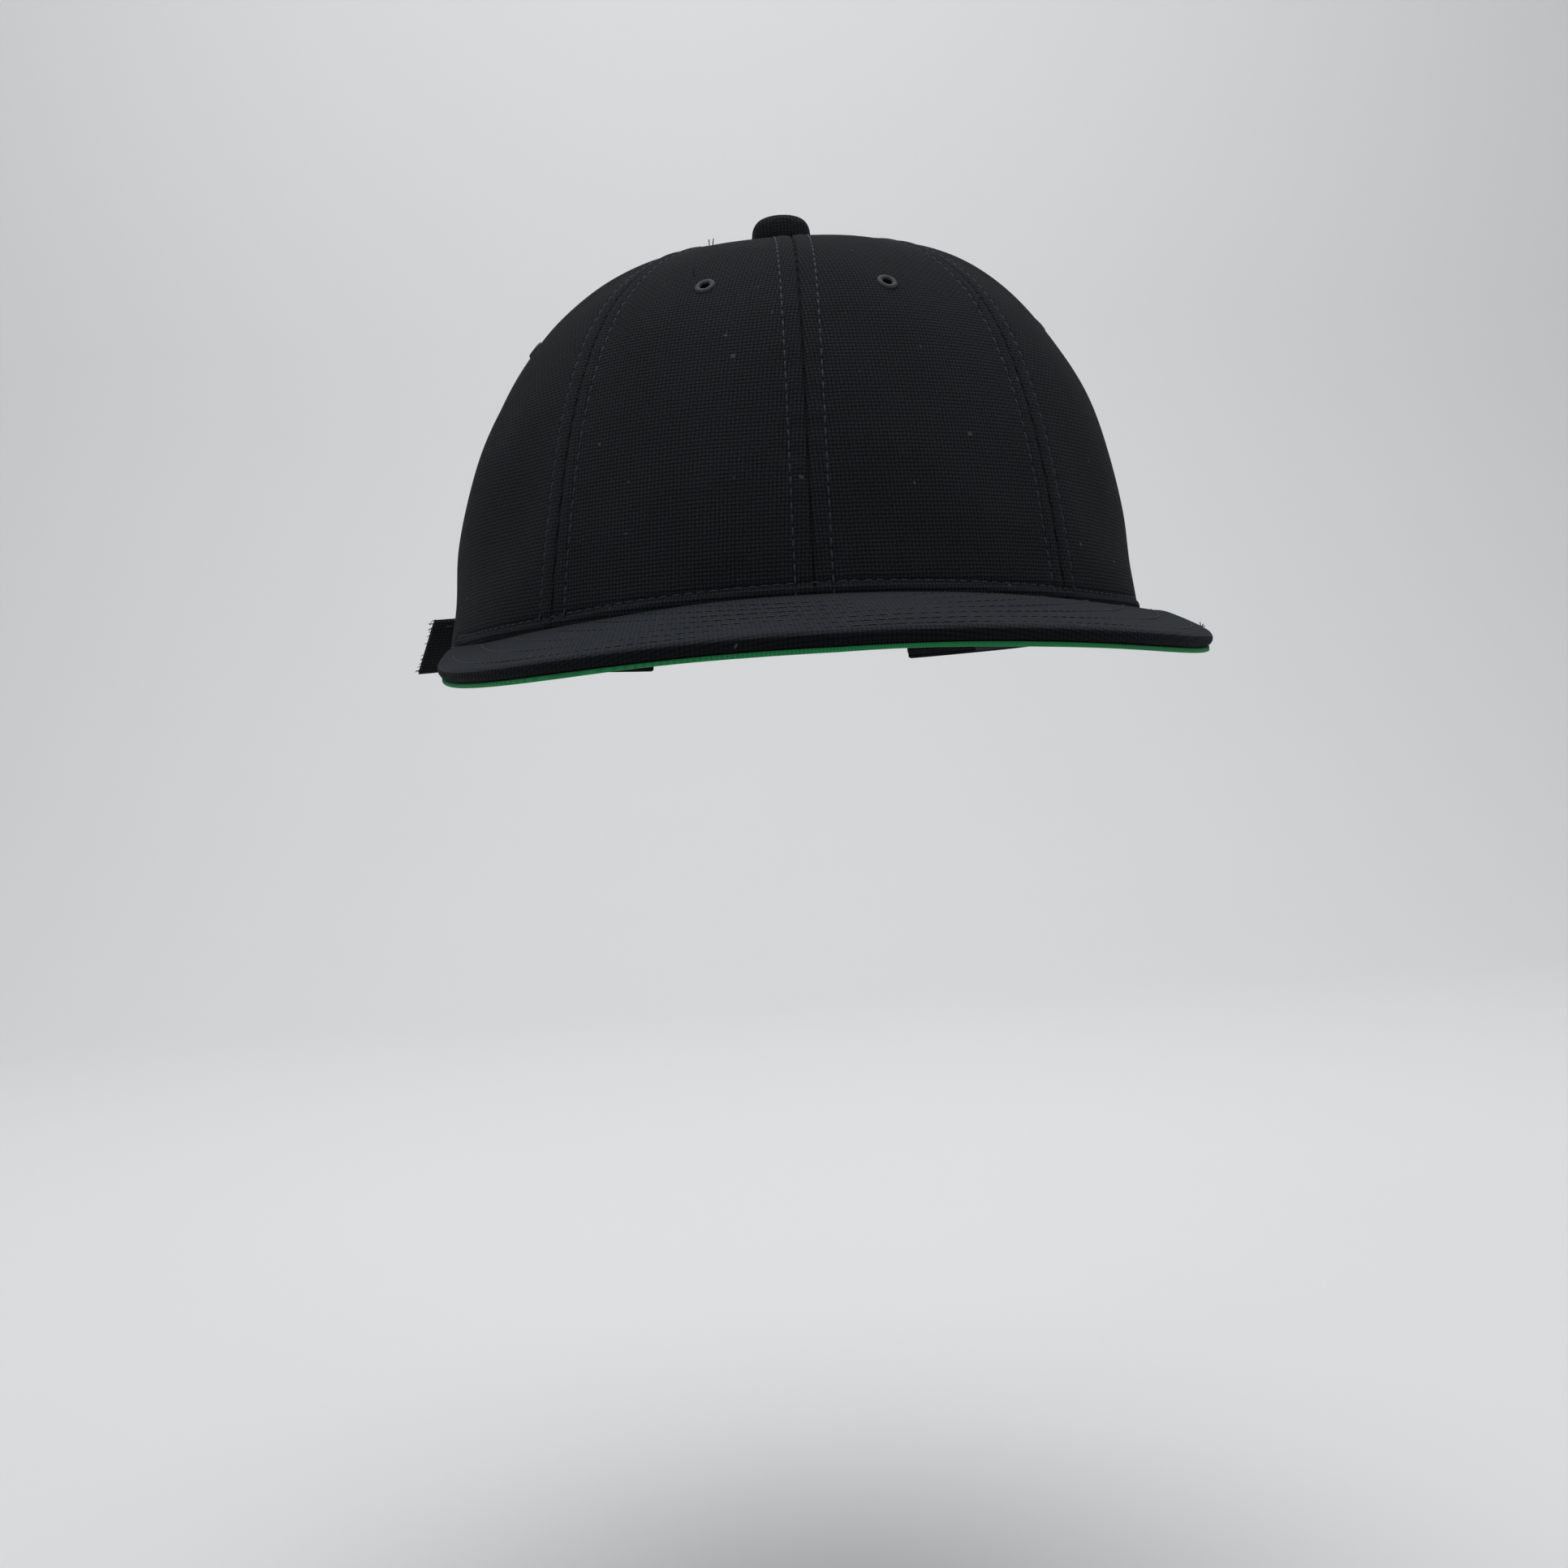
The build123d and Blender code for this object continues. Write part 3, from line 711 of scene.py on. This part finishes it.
def make_inside():
    back = HALF_LENGTH * math.sqrt(1 - (BAND_END / HALF_WIDTH) ** 2)
    ends = math.degrees(math.acos(-back / math.hypot(BAND_END, back)))
    band("sweatband_backing_felt", "sweatband_backing", (-ends, ends), (3.2 * MM, 25.4 * MM), BACKING,
         BACKING_FELT)
    band("sweatband_cloth", "sweatband", (-ends, ends), (0.6 * MM, 26 * MM), BAND, BAND_TWILL,
         puff=0.12 * MM)
    rows = []
    for height in (2.2 * MM, 24.2 * MM):
        azimuth = np.linspace(-ends + 1, ends - 1, 700)
        turn = np.full(700, turn_at(height))
        points, outs = crown_surface(np.stack([azimuth] * 3, 1),
                                     np.stack([turn - 0.002, turn, turn + 0.002], 1), BAND[1])
        rows.append((points[:, 1], -outs[:, 1]))
    stitches("sweatband_stitching", rows, STITCH_THREAD, "crown", "sweatband_fabric")
    band("blank_label", "size_label", (118, 133), (3 * MM, 21 * MM), (3.35 * MM, 3.6 * MM), LABEL_WEAVE)
    seams = {"front_centre_tape": 0, "front_tape_left": FRONT_SEAM, "front_tape_right": -FRONT_SEAM,
             "rear_tape_left": BACK_SEAM, "rear_tape_right": -BACK_SEAM, "back_centre_tape": 180}
    for node, azimuth in seams.items():
        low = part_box(node)[0].z + 0.3 * MM
        turns = turn_for(np.linspace(lengths_at(turn_at(low)), lengths_at(0.955), 90))[None, :]
        across = np.linspace(-TAPE_HALF, TAPE_HALF, 13)[:, None] * MM
        radius = np.linalg.norm(dome(azimuth, turns)[..., :2], axis=-1)
        bearing = azimuth + np.degrees(np.arcsin(np.clip(across / np.maximum(radius, 0.016), -1, 1)))
        turns = turns + 0 * bearing
        outer, out = crown_surface(bearing, turns, TAPE[0])
        fold = 0.12 * MM * np.cos(across / MM * math.pi / 3)[..., None]
        inner = outer - out * (TAPE[1] - TAPE[0] + fold)
        outer, inner = rounded(outer, inner, 0.8 * MM)
        uv = np.stack([across + 0 * turns, lengths(outer, 1)], -1)
        obj = closed_grid(f"{node}_twill", outer, inner, TAPE_TWILL, uv)
        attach(obj, "crown")
        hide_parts(node)


def make_binding():
    """A narrow turned tape inside the arch's upper edge."""
    edge = arch_boundary(300)
    edge = edge[edge[:, 1] > BINDING_LOW]
    azimuth = np.concatenate([edge[:, 0], -edge[::-1, 0]])
    z = np.concatenate([edge[:, 1], edge[::-1, 1]])
    keep = np.concatenate([[True], np.abs(np.diff(z)) + np.abs(np.diff(np.abs(azimuth))) > 1e-9])
    azimuth, z = azimuth[keep], z[keep]
    rim = dome(azimuth, turn_at(z))
    grow = np.linspace(0, TAPE_HALF, 7)[None, :] * MM
    angle = np.arctan2(z - ARCH_LEG, rim[:, 0] * ARCH_RISE / ARCH_HALF)
    height = z[:, None] + grow * np.sin(angle)[:, None]
    shift = np.degrees(grow * np.cos(angle)[:, None] / np.linalg.norm(rim[:, :2], axis=1)[:, None])
    bearing = azimuth[:, None] % 360 - shift
    outer, out = crown_surface(bearing, turn_at(height), TAPE[0])
    inner = outer - out * 0.45 * MM
    outer, inner = rounded(outer, inner, 0.7 * MM)
    obj = closed_grid("arch_binding_twill", outer, inner, TAPE_TWILL, metres(outer))
    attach(obj, "crown")
    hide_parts("back_arch_binding")


# ---- eyelets and button
def make_eyelets():
    for node in [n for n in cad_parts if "eyelet" in n]:
        centre, out = eyelet_place(node)
        across = out.orthogonal().normalized()
        up = out.cross(across)
        turns, sides = 96, 10
        middle, wide, tall = 1.78 * MM, 0.60 * MM, 0.46 * MM
        verts = []
        for i in range(turns):
            angle = 2 * math.pi * i / turns
            spoke = across * math.cos(angle) + up * math.sin(angle)
            wrap = 1 + 0.13 * abs(math.sin(angle * 15))
            for k in range(sides):
                turn = 2 * math.pi * k / sides
                verts.append(centre + spoke * (middle + wide * math.cos(turn) * wrap)
                             + out * (0.02 * MM + tall * math.sin(turn) * wrap))
        obj = mesh_piece(f"{node}_ring", verts, torus_faces(turns, sides), EYELET_THREAD)
        recalculate(obj)
        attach(obj, "crown")
        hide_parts(node)


def make_button():
    low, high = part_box("button_cover")
    radius, base, height = (high.x - low.x) / 2, low.z + 0.5 * MM, (high.z - low.z) * 1.02
    profile = [(radius - 0.5 * MM, -0.2 * MM), (radius, 0.5 * MM), (radius * 1.005, height * 0.22),
               (radius * 0.985, height * 0.38)]
    for k in range(1, 13):
        angle = k / 12 * math.pi / 2
        profile.append((radius * 0.98 * max(math.cos(angle), 0) ** 0.46,
                        height * (0.42 + 0.58 * math.sin(angle) ** 1.1)))
    sides = 96
    outer = np.zeros((sides + 1, len(profile), 3))
    for i in range(sides + 1):
        turn = 2 * math.pi * (i % sides) / sides
        for k, (r, z) in enumerate(profile):
            pucker = 1 + 0.014 * math.sin(turn * 9) * max(0, 1 - z / height)
            outer[i, k] = (LEAN + r * pucker * math.cos(turn), r * pucker * math.sin(turn), base + z)
    hub = np.array([LEAN, 0, 0])
    inner = (outer - hub) * np.array([0.9, 0.9, 1]) + hub - np.array([0, 0, 0.55 * MM])
    uv = outer[..., :2].copy()
    uv[:, :6, 1] += (outer[:, :6, 2] - base)
    obj = closed_grid("button_cloth", outer, inner, CROWN_CLOTH, uv)
    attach(obj, "crown")
    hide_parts("button_cover")


def lathe(name, profile, centre, material, node):
    """A turned part that rides on the crown, from a closed profile of (radius, height)."""
    sides = 64
    around = [2 * math.pi * i / sides for i in range(sides)]
    verts = [(centre[0] + r * math.cos(turn), centre[1] + r * math.sin(turn), z)
             for turn in around for r, z in profile]
    obj = mesh_piece(name, verts, torus_faces(sides, len(profile)), material)
    recalculate(obj)
    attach(obj, "crown")
    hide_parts(node)


def make_button_inside():
    centre = (LEAN, 0.0)
    low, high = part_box("button_core")
    radius = (high.x - low.x) / 2 - 1.0 * MM
    sheet = 0.5 * MM
    profile = [(0.4 * MM, high.z - sheet), (radius * 0.7, high.z - sheet * 1.8), (radius, low.z + 1.2 * MM),
               (radius, low.z + 0.2 * MM), (radius - sheet, low.z + 0.2 * MM),
               (radius - sheet, low.z + 1.0 * MM), (radius * 0.66, high.z - sheet * 3.0),
               (0.4 * MM, high.z - sheet * 2.2)]
    lathe("button_shell", profile, centre, ZINC, "button_core")
    low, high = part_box("button_post")
    reach = (high.x - low.x) / 2
    profile = [(0.3 * MM, low.z), (reach - 0.3 * MM, low.z), (reach, low.z + 0.25 * MM),
               (reach - 0.2 * MM, low.z + 0.5 * MM), (1.5 * MM, low.z + 0.6 * MM),
               (1.5 * MM, high.z - 1.2 * MM), (0.3 * MM, high.z - 1.2 * MM)]
    lathe("button_rivet", profile, centre, ZINC, "button_post")


# ---- visor
VISOR_LOW, VISOR_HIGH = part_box("undervisor")[0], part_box("visor_top_cover")[1]
VISOR_HALF = VISOR_HIGH.x * 0.985
VISOR_BACK, VISOR_TIP = -30 * MM, VISOR_LOW.y
SLOPE, ARCH_RADIUS, CREST = math.tan(math.radians(11.2)), 235 * MM, 18 * MM
VISOR_THICK, UNDER = 4.2 * MM, 1.0 * MM
SWAY, TWIST = np.array([3.9 * MM, 0.0]), 0.027
COVER_INSET, BOARD_INSET, UNDER_INSET = 1.7 * MM, 2.6 * MM, 0.95 * MM
BOARD = (0.9 * MM, 2.9 * MM)
BOARD_SPAN = 0.84  # the board stops short of the rear corners
VISOR_ROWS = (4.2, 11, 18, 25, 32, 39, 46)  # stitch rows, mm in from the edge


def visor_top(x, y):
    """Height of the visor's top face, which is sewn on with a slight twist."""
    beyond = np.hypot(x / HALF_WIDTH, y / HALF_LENGTH) - 1
    twist = TWIST * np.where(x < 0, 0.05, 1.0) * x * (0.4 + 0.6 * smooth(beyond / 0.07))
    return twist + CREST - ARCH_RADIUS + np.sqrt(ARCH_RADIUS ** 2 - x ** 2) + SLOPE * (y - VISOR_BACK)


def visor_edge(angle, inset):
    reach = VISOR_BACK - VISOR_TIP - inset
    return np.stack([(VISOR_HALF - inset) * np.sin(angle),
                     VISOR_BACK - reach * np.maximum(np.cos(angle), 0) ** 0.9], -1)


def crown_edge(angle):
    """The visor's inner edge, where it meets the crown just above the rim."""
    lean = 0.998
    limit = math.asin(min(1, math.sqrt(1 - (VISOR_BACK / HALF_LENGTH) ** 2)))
    turn = angle / (math.pi / 2) * limit
    return np.stack([HALF_WIDTH * lean * np.sin(turn), -HALF_LENGTH * lean * np.cos(turn)], -1)


def end_round(angle):
    """1 along the visor, falling to 0 at its two rear corners so that they round into the crown."""
    return (1 - np.abs(angle / (math.pi / 2)) ** 26) ** 0.5


def visor_grid(inset, columns=260, rows=60, span=1.0):
    angle = -math.pi / 2 * span * np.cos(np.linspace(0, math.pi, columns))
    inner, outer = crown_edge(angle)[:, None], visor_edge(angle, inset)[:, None]
    share = np.linspace(0, 1, rows)[None, :, None]
    share = 1 - (1 - share) ** 1.6
    return inner + (outer + SWAY - inner) * share * end_round(angle)[:, None, None]


def make_visor_cover():
    """The top cloth, turned round the edge. Its rolled edge and underside take a darker copy of the cloth, as
    painted shade.
    """
    plan = visor_grid(COVER_INSET)
    x, y = plan[..., 0], plan[..., 1]
    ripple = 0.10 * MM * np.sin(x / (9 * MM)) * np.sin(y / (11 * MM))
    top = visor_top(x, y) + ripple
    thick = VISOR_THICK - UNDER
    edge = plan[:, -1]
    run = np.gradient(edge, axis=0)
    edge_dir = unit(np.stack([run[:, 1], -run[:, 0]], 1))
    edge_dir = edge_dir * smooth(np.linalg.norm(edge - plan[:, 0], axis=1) / (3 * MM))[:, None]
    path = [np.dstack([plan, top])]
    for k in range(1, 9):
        turn = k / 8 * math.pi
        out = math.sin(turn) * 1.65 * MM
        drop = (1 - math.cos(turn)) / 2 * thick
        ring = edge + edge_dir * out
        path.append(np.dstack([ring[:, None], (visor_top(edge[:, 0], edge[:, 1]) - drop)[:, None]]))
    lower = np.dstack([plan, visor_top(x, y) - thick])[:, ::-1]
    back = np.concatenate(path + [lower[:, :1]], axis=1)
    flat = np.zeros_like(back)
    count = plan.shape[1]
    flat[:, :count, 2] = -0.7 * MM
    flat[:, count:] = -np.concatenate([edge_dir, np.zeros((len(plan), 1))], 1)[:, None] * 0.8 * MM
    uv = np.stack([back[..., 0], lengths(back, 1)], -1)
    # the top face's lighter cloth is painted sheen
    obj = closed_grid("visor_cloth_cover", back, back + flat, VISOR_PAINTED_SHEEN_CLOTH, uv)
    # faces below the top face get the darker cloth: painted shade where the edge turns down, away from the
    # light
    obj.data.materials.append(EDGE_PAINTED_SHADE_CLOTH)
    for face in obj.data.polygons:
        x, y, z = face.center
        face.material_index = int(z < float(visor_top(np.array(x), np.array(y))) - 0.5 * MM)
    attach(obj, "crown")
    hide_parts("visor_top_cover")


def make_visor_board():
    plan = visor_grid(BOARD_INSET, span=BOARD_SPAN)
    level = visor_top(plan[..., 0], plan[..., 1])
    a, b = rounded(*(np.dstack([plan, level - depth]) for depth in BOARD), 1.0 * MM)
    obj = closed_grid("visor_stiffener", a, b, BOARD_PLASTIC, plan)
    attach(obj, "crown")
    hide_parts("visor_board")


def make_undervisor():
    plan = visor_grid(UNDER_INSET)
    x, y = plan[..., 0], plan[..., 1]
    upper = visor_top(x, y) - VISOR_THICK + UNDER
    lower = upper - UNDER + 0.05 * MM * np.sin(x / (7 * MM))
    away = np.linalg.norm(plan - plan[:, -1:], axis=-1)
    roll = np.clip(1 - away / (1.0 * MM), 0, 1) ** 2 * 0.3 * MM
    a, b = np.dstack([plan, lower + roll]), np.dstack([plan, upper])
    obj = closed_grid("undervisor_twill", a, b, GREEN_TWILL, plan)
    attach(obj, "crown")
    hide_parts("undervisor")


def make_visor_stitches():
    angle = np.linspace(-math.pi / 2 + 0.16, math.pi / 2 - 0.16, 500)
    rows, rows_below = [], []
    for inset in VISOR_ROWS:
        line = visor_edge(angle, inset * MM) + SWAY * (1 - inset / 60)
        outside = (line[:, 0] / HALF_WIDTH) ** 2 + (line[:, 1] / HALF_LENGTH) ** 2 > 1.03
        if outside.sum() < 20:
            continue
        line = line[outside]
        z = visor_top(line[:, 0], line[:, 1])
        up = np.zeros((len(line), 3)) + np.array([0, 0, 1])
        rows.append((np.column_stack([line, z + 0.02 * MM]), up))
        rows_below.append((np.column_stack([line, z - VISOR_THICK - 0.02 * MM]), -up))
    stitches("visor_stitching", rows, VISOR_THREAD, "crown", "visor_fabric", radius=0.14 * MM)
    stitches("undervisor_stitching", rows_below, GREEN_THREAD, "crown", "undervisor_fabric", radius=0.17 * MM)


# ---- strap and buckle
STRAP_CENTRE, STRAP_RADIUS = np.array([-3.6, 20.0]) * MM, 80 * MM
STRAP_THICK, STRAP_LEAN = 1.2 * MM, 0.155
STRAP_LOW = 5 * MM
STRAP_WIDE = 15 * MM
STRAP_ENDS = (-46.0, 35.0)
TAIL, DROOP = 69 * MM, math.tan(math.radians(4))
TAIL_CUT = 5.5 * MM
TAB_ENDS, TAB_THICK, TAB_GAP = (22.5, 41.0), 1.0 * MM, 2.9 * MM


def strap_arc(radius, angle, z):
    """Points on the strap's curved path, or beside it at another radius."""
    return np.stack([STRAP_CENTRE[0] - radius * np.sin(angle),
                     STRAP_CENTRE[1] + radius * np.cos(angle), z], -1)


def strap_path(samples_arc=110, samples_tail=70, width=15):
    """Grid of the strap's outer face: along its path, then across its width."""
    across = np.linspace(0, 1, width)[None, :]
    angle = np.radians(np.linspace(*STRAP_ENDS, samples_arc))[:, None]
    z = STRAP_LOW + across * STRAP_WIDE + 0 * angle
    radius = STRAP_RADIUS - STRAP_LEAN * z
    arc = strap_arc(radius, angle, z)
    end = math.radians(STRAP_ENDS[1])
    along = np.array([-math.cos(end), -math.sin(end), 0])
    travel = np.linspace(0, 1, samples_tail + 1)[1:, None]
    reach = travel * (TAIL - TAIL_CUT * across)
    tail = arc[-1][None] + along * reach[..., None]
    tail[..., 2] -= reach * DROOP
    wave = 0.5 * MM * np.sin(reach / (9 * MM)) * travel + 1.4 * MM * travel ** 2 * (across - 0.5)
    out = np.array([-math.sin(end), math.cos(end), 0])
    tail = tail + out * wave[..., None]
    return np.concatenate([arc, tail])


def make_strap():
    outer = strap_path()
    out = normals_of(outer)
    out = out * np.sign((out * (outer - np.array([*STRAP_CENTRE, 0.01]))).sum(-1, keepdims=True))
    inner = outer - out * STRAP_THICK
    uv = metres(outer)
    lip = np.minimum(lengths(outer, 1), lengths(outer, 1)[:, ::-1])
    pinch = (np.clip(1 - lip / (1.0 * MM), 0, 1) ** 2 * 0.4 * MM)[..., None]
    obj = closed_grid("strap_cloth", outer - out * pinch, inner + out * pinch, CROWN_CLOTH, uv)
    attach(obj, "strap")
    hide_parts("back_strap")
    runs = []
    for column in (2, 12):
        runs.append((outer[2:-3, column], out[2:-3, column]))
        runs.append((inner[2:-3, column], -out[2:-3, column]))
    stitches("strap_stitching", runs, STITCH_THREAD, "strap", "crown_fabric")
    fray = []
    for _ in range(20):
        column = rng.randrange(outer.shape[1])
        root = (outer[-1, column] + inner[-1, column]) / 2
        way = outer[-1, column] - outer[-3, column]
        way = way / np.linalg.norm(way) + np.array([rng.uniform(-0.3, 0.3) for _ in range(3)])
        length = rng.uniform(0.5, 1.7) * MM
        fray.append(tube(np.array([root + way * length * t + np.array([0, 0, -0.3 * MM * t * t])
                                   for t in np.linspace(-0.3, 1, 6)])))
    obj = mesh_piece("strap_fray", *gather(fray), VISOR_THREAD)
    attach(obj, "strap")


def tube(line, radius=0.09 * MM, sides=5):
    """A thin thread along a line of points."""
    verts = []
    for i, point in enumerate(line):
        way = Vector(line[min(i + 1, len(line) - 1)] - line[max(i - 1, 0)]).normalized()
        across = way.orthogonal().normalized()
        up = way.cross(across)
        for k in range(sides):
            turn = 2 * math.pi * k / sides
            verts.append(np.array(Vector(point) + (across * math.cos(turn) + up * math.sin(turn)) * radius))
    return verts, hose_faces(len(line), sides)


def make_loose_threads():
    """A few cut thread ends on the crown's top and at the visor's corner."""
    ends = []
    radii = np.hypot(*dome(90.0, MERIDIAN)[:, :2].T - np.array([[LEAN], [0]]))
    for azimuth, radius, count in ((-46, 25, 5), (44, 25, 3), (-20, 62, 1), (35, 68, 1)):
        point, out = spot(azimuth, np.interp(-radius * MM, -radii, MERIDIAN))
        for _ in range(count):
            root = point + rng.uniform(-1.2, 1.2) * MM
            bend = np.array([rng.uniform(-0.9, 0.9) for _ in range(3)])
            reach = rng.uniform(1.6, 3.0) * MM
            line = [root + out * reach * t + bend * reach * t * t * 0.6 for t in np.linspace(-0.4, 1, 7)]
            ends.append(tube(np.array(line), 0.13 * MM))
    corner = visor_edge(np.array([1.42]), 0.3 * MM)[0] + SWAY
    root = np.array([*corner, float(visor_top(corner[0], corner[1])) - 0.6 * MM])
    for _ in range(3):
        bend = np.array([rng.uniform(0.2, 1.0), rng.uniform(-0.6, 0.2), rng.uniform(0.0, 1.0)])
        line = [root + bend * 1.5 * MM * t - bend[::-1] * 0.5 * MM * t * t for t in np.linspace(-0.3, 1, 7)]
        ends.append(tube(np.array(line), 0.12 * MM))
    obj = mesh_piece("loose_threads", *gather(ends), VISOR_THREAD)
    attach(obj, "crown")


def make_tab():
    low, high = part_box("buckle_tab")
    angle = np.radians(np.linspace(*TAB_ENDS, 40))[:, None]
    z = np.linspace(low.z, high.z, 12)[None, :] + 0 * angle
    radius = STRAP_RADIUS - STRAP_THICK - TAB_GAP - STRAP_LEAN * z
    outer, inner = strap_arc(radius, angle, z), strap_arc(radius - TAB_THICK, angle, z)
    outer, inner = rounded(outer, inner, 0.8 * MM)
    obj = closed_grid("buckle_tab_cloth", outer, inner, CROWN_CLOTH, metres(outer))
    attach(obj, "crown")
    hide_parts("buckle_tab")


# ---- insert and its pads
CREST_DROP = 1.9 * MM


def copy_of(node, name, material):
    """A new object with the CAD node's mesh, to be reshaped."""
    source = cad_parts[node]
    obj = add_object(name, source.data.copy())
    obj.matrix_world = source.matrix_world
    obj.data.materials.clear()
    obj.data.materials.append(material)
    return obj


def soften(obj, name, width, angle):
    """Bevels obj's edges that are sharper than angle degrees."""
    edge = obj.modifiers.new(name, "BEVEL")
    edge.width, edge.segments, edge.use_clamp_overlap = width, 2, True
    edge.limit_method, edge.angle_limit = "ANGLE", math.radians(angle)


def ease_crest(obj):
    """Rounds the dome's shallow point at its apex, and clears the slumped cloth above it."""
    count = len(obj.data.vertices)
    points = np.zeros(count * 3)
    obj.data.vertices.foreach_get("co", points)
    points = points.reshape(-1, 3)
    share = np.hypot(points[:, 0] / HALF_WIDTH, points[:, 1] / HALF_LENGTH)
    eased = np.sqrt(share ** 2 + 0.17 ** 2)
    sag = CONE * ((1 - share) ** 2 - np.maximum(1 - eased, 0) ** 2)
    points[:, 2] -= (sag + CREST_DROP) * smooth((points[:, 2] - 50 * MM) / (30 * MM))
    obj.data.vertices.foreach_set("co", points.ravel())
    obj.data.update()


def make_insert_shell():
    """The moulded shell: the CAD shape with its crest eased and its moulded edges softened."""
    obj = copy_of("insert_shell", "insert_moulding", SHELL_PLASTIC)
    join = obj.modifiers.new("join", "WELD")
    join.merge_threshold = WELD
    bake(obj)
    ease_crest(obj)
    soften(obj, "edge", 0.4 * MM, 50)
    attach(obj, "insert")
    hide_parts("insert_shell")


def make_pad(node):
    """A foam pad: the CAD pad's shape with softened edges."""
    obj = copy_of(node, f"{node}_foam", PAD_FOAM)
    net = obj.modifiers.new("net", "REMESH")
    net.mode, net.voxel_size = "VOXEL", 1.6 * MM
    ease = obj.modifiers.new("ease", "SMOOTH")
    ease.factor, ease.iterations = 0.5, 9
    bake(obj)
    obj.data.polygons.foreach_set("use_smooth", [True] * len(obj.data.polygons))
    if not obj.data.materials:
        obj.data.materials.append(PAD_FOAM)
    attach(obj, "insert")
    ease_crest(obj)
    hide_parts(node)


# ---- carried-over CAD nodes
def dress_cad():
    for node in ("buckle_frame", "buckle_pin", "buckle_lever"):
        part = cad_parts[node]
        part.data.materials.clear()
        part.data.materials.append(BRASS)
        soften(part, "worn_edge", 0.18 * MM, 40)


# ---- stage, lights, camera
def plain(name, colour, roughness):
    """A nearly even finish for the floor."""
    graph = Graph(name, roughness)
    graph.colour(graph.mix(graph.noise(graph.place(), 3, 2), colour, tuple(c * 0.98 for c in colour)))
    return graph.material


def make_stage():
    size, drop = 6.0, 0.25
    curve = [(-size, 0.0), (1.2, 0.0)] + [(1.2 + 0.8 * math.sin(t), 0.8 - 0.8 * math.cos(t))
                                         for t in np.linspace(0.1, math.pi / 2, 12)] + [(2.0, 4.0)]
    verts = [(x, y, z - drop) for y, z in curve for x in (-size, size)]
    faces = [(2 * i, 2 * i + 1, 2 * i + 3, 2 * i + 2) for i in range(len(curve) - 1)]
    floor = mesh_piece("floor", verts, faces, plain("pale_floor", (0.74, 0.748, 0.752), 0.95))


def area_light(name, place, target, size, power):
    light = bpy.data.lights.new(name, "AREA")
    light.shape, light.size, light.energy = "DISK", size, power
    obj = add_object(name, light)
    obj.location = place
    obj.rotation_euler = (Vector(target) - Vector(place)).to_track_quat("-Z", "Y").to_euler()


def make_lights():
    world = bpy.data.worlds.new("studio")
    scene.world = world
    world.use_nodes = True
    world.node_tree.nodes["Background"].inputs[0].default_value = (0.80, 0.815, 0.83, 1)
    world.node_tree.nodes["Background"].inputs[1].default_value = 0.46
    centre = (0, -0.02, 0.05)
    area_light("top_softbox", (0.05, -0.05, 1.5), centre, 1.5, 10)
    area_light("front_left_softbox", (-1.0, -1.1, 0.75), centre, 0.9, 2.6)
    area_light("front_right_softbox", (1.1, -0.9, 0.7), centre, 0.9, 2.2)
    area_light("backdrop_softbox", (0, 0.5, 1.9), (0, 2.1, 0.2), 1.6, 19)


def make_camera():
    """A view almost level with the rim, from the front and a little to the wearer's right."""
    pitch, yaw, roll = math.radians(0.6), math.radians(2.22), math.radians(-3.06)
    offset = Vector((2.8, 490.0, 36.3)) * MM
    turn = (Matrix.Rotation(roll, 3, "Y") @ Matrix.Rotation(pitch, 3, "X") @ Matrix.Rotation(yaw, 3, "Z"))
    back = turn.transposed()
    right, ahead, up = back @ Vector((1, 0, 0)), back @ Vector((0, 1, 0)), back @ Vector((0, 0, 1))
    camera = bpy.data.cameras.new("camera")
    camera.sensor_width, camera.lens = 36.0, 42.86
    camera.clip_start = 0.01
    obj = add_object("camera", camera)
    axes = Matrix((right, up, -ahead)).transposed().to_4x4()
    obj.matrix_world = Matrix.Translation(back @ -offset) @ axes
    scene.camera = obj


scene.view_settings.view_transform = "Standard"
make_crown()
make_seam_stitches()
make_inside()
make_binding()
make_eyelets()
make_button()
make_button_inside()
make_visor_cover()
make_visor_board()
make_undervisor()
make_visor_stitches()
make_strap()
make_loose_threads()
make_tab()
for pad in ("crown_pad", "front_pad", "rear_pad", "left_pad", "right_pad"):
    make_pad(pad)
make_insert_shell()
dress_cad()
make_stage()
make_lights()
make_camera()
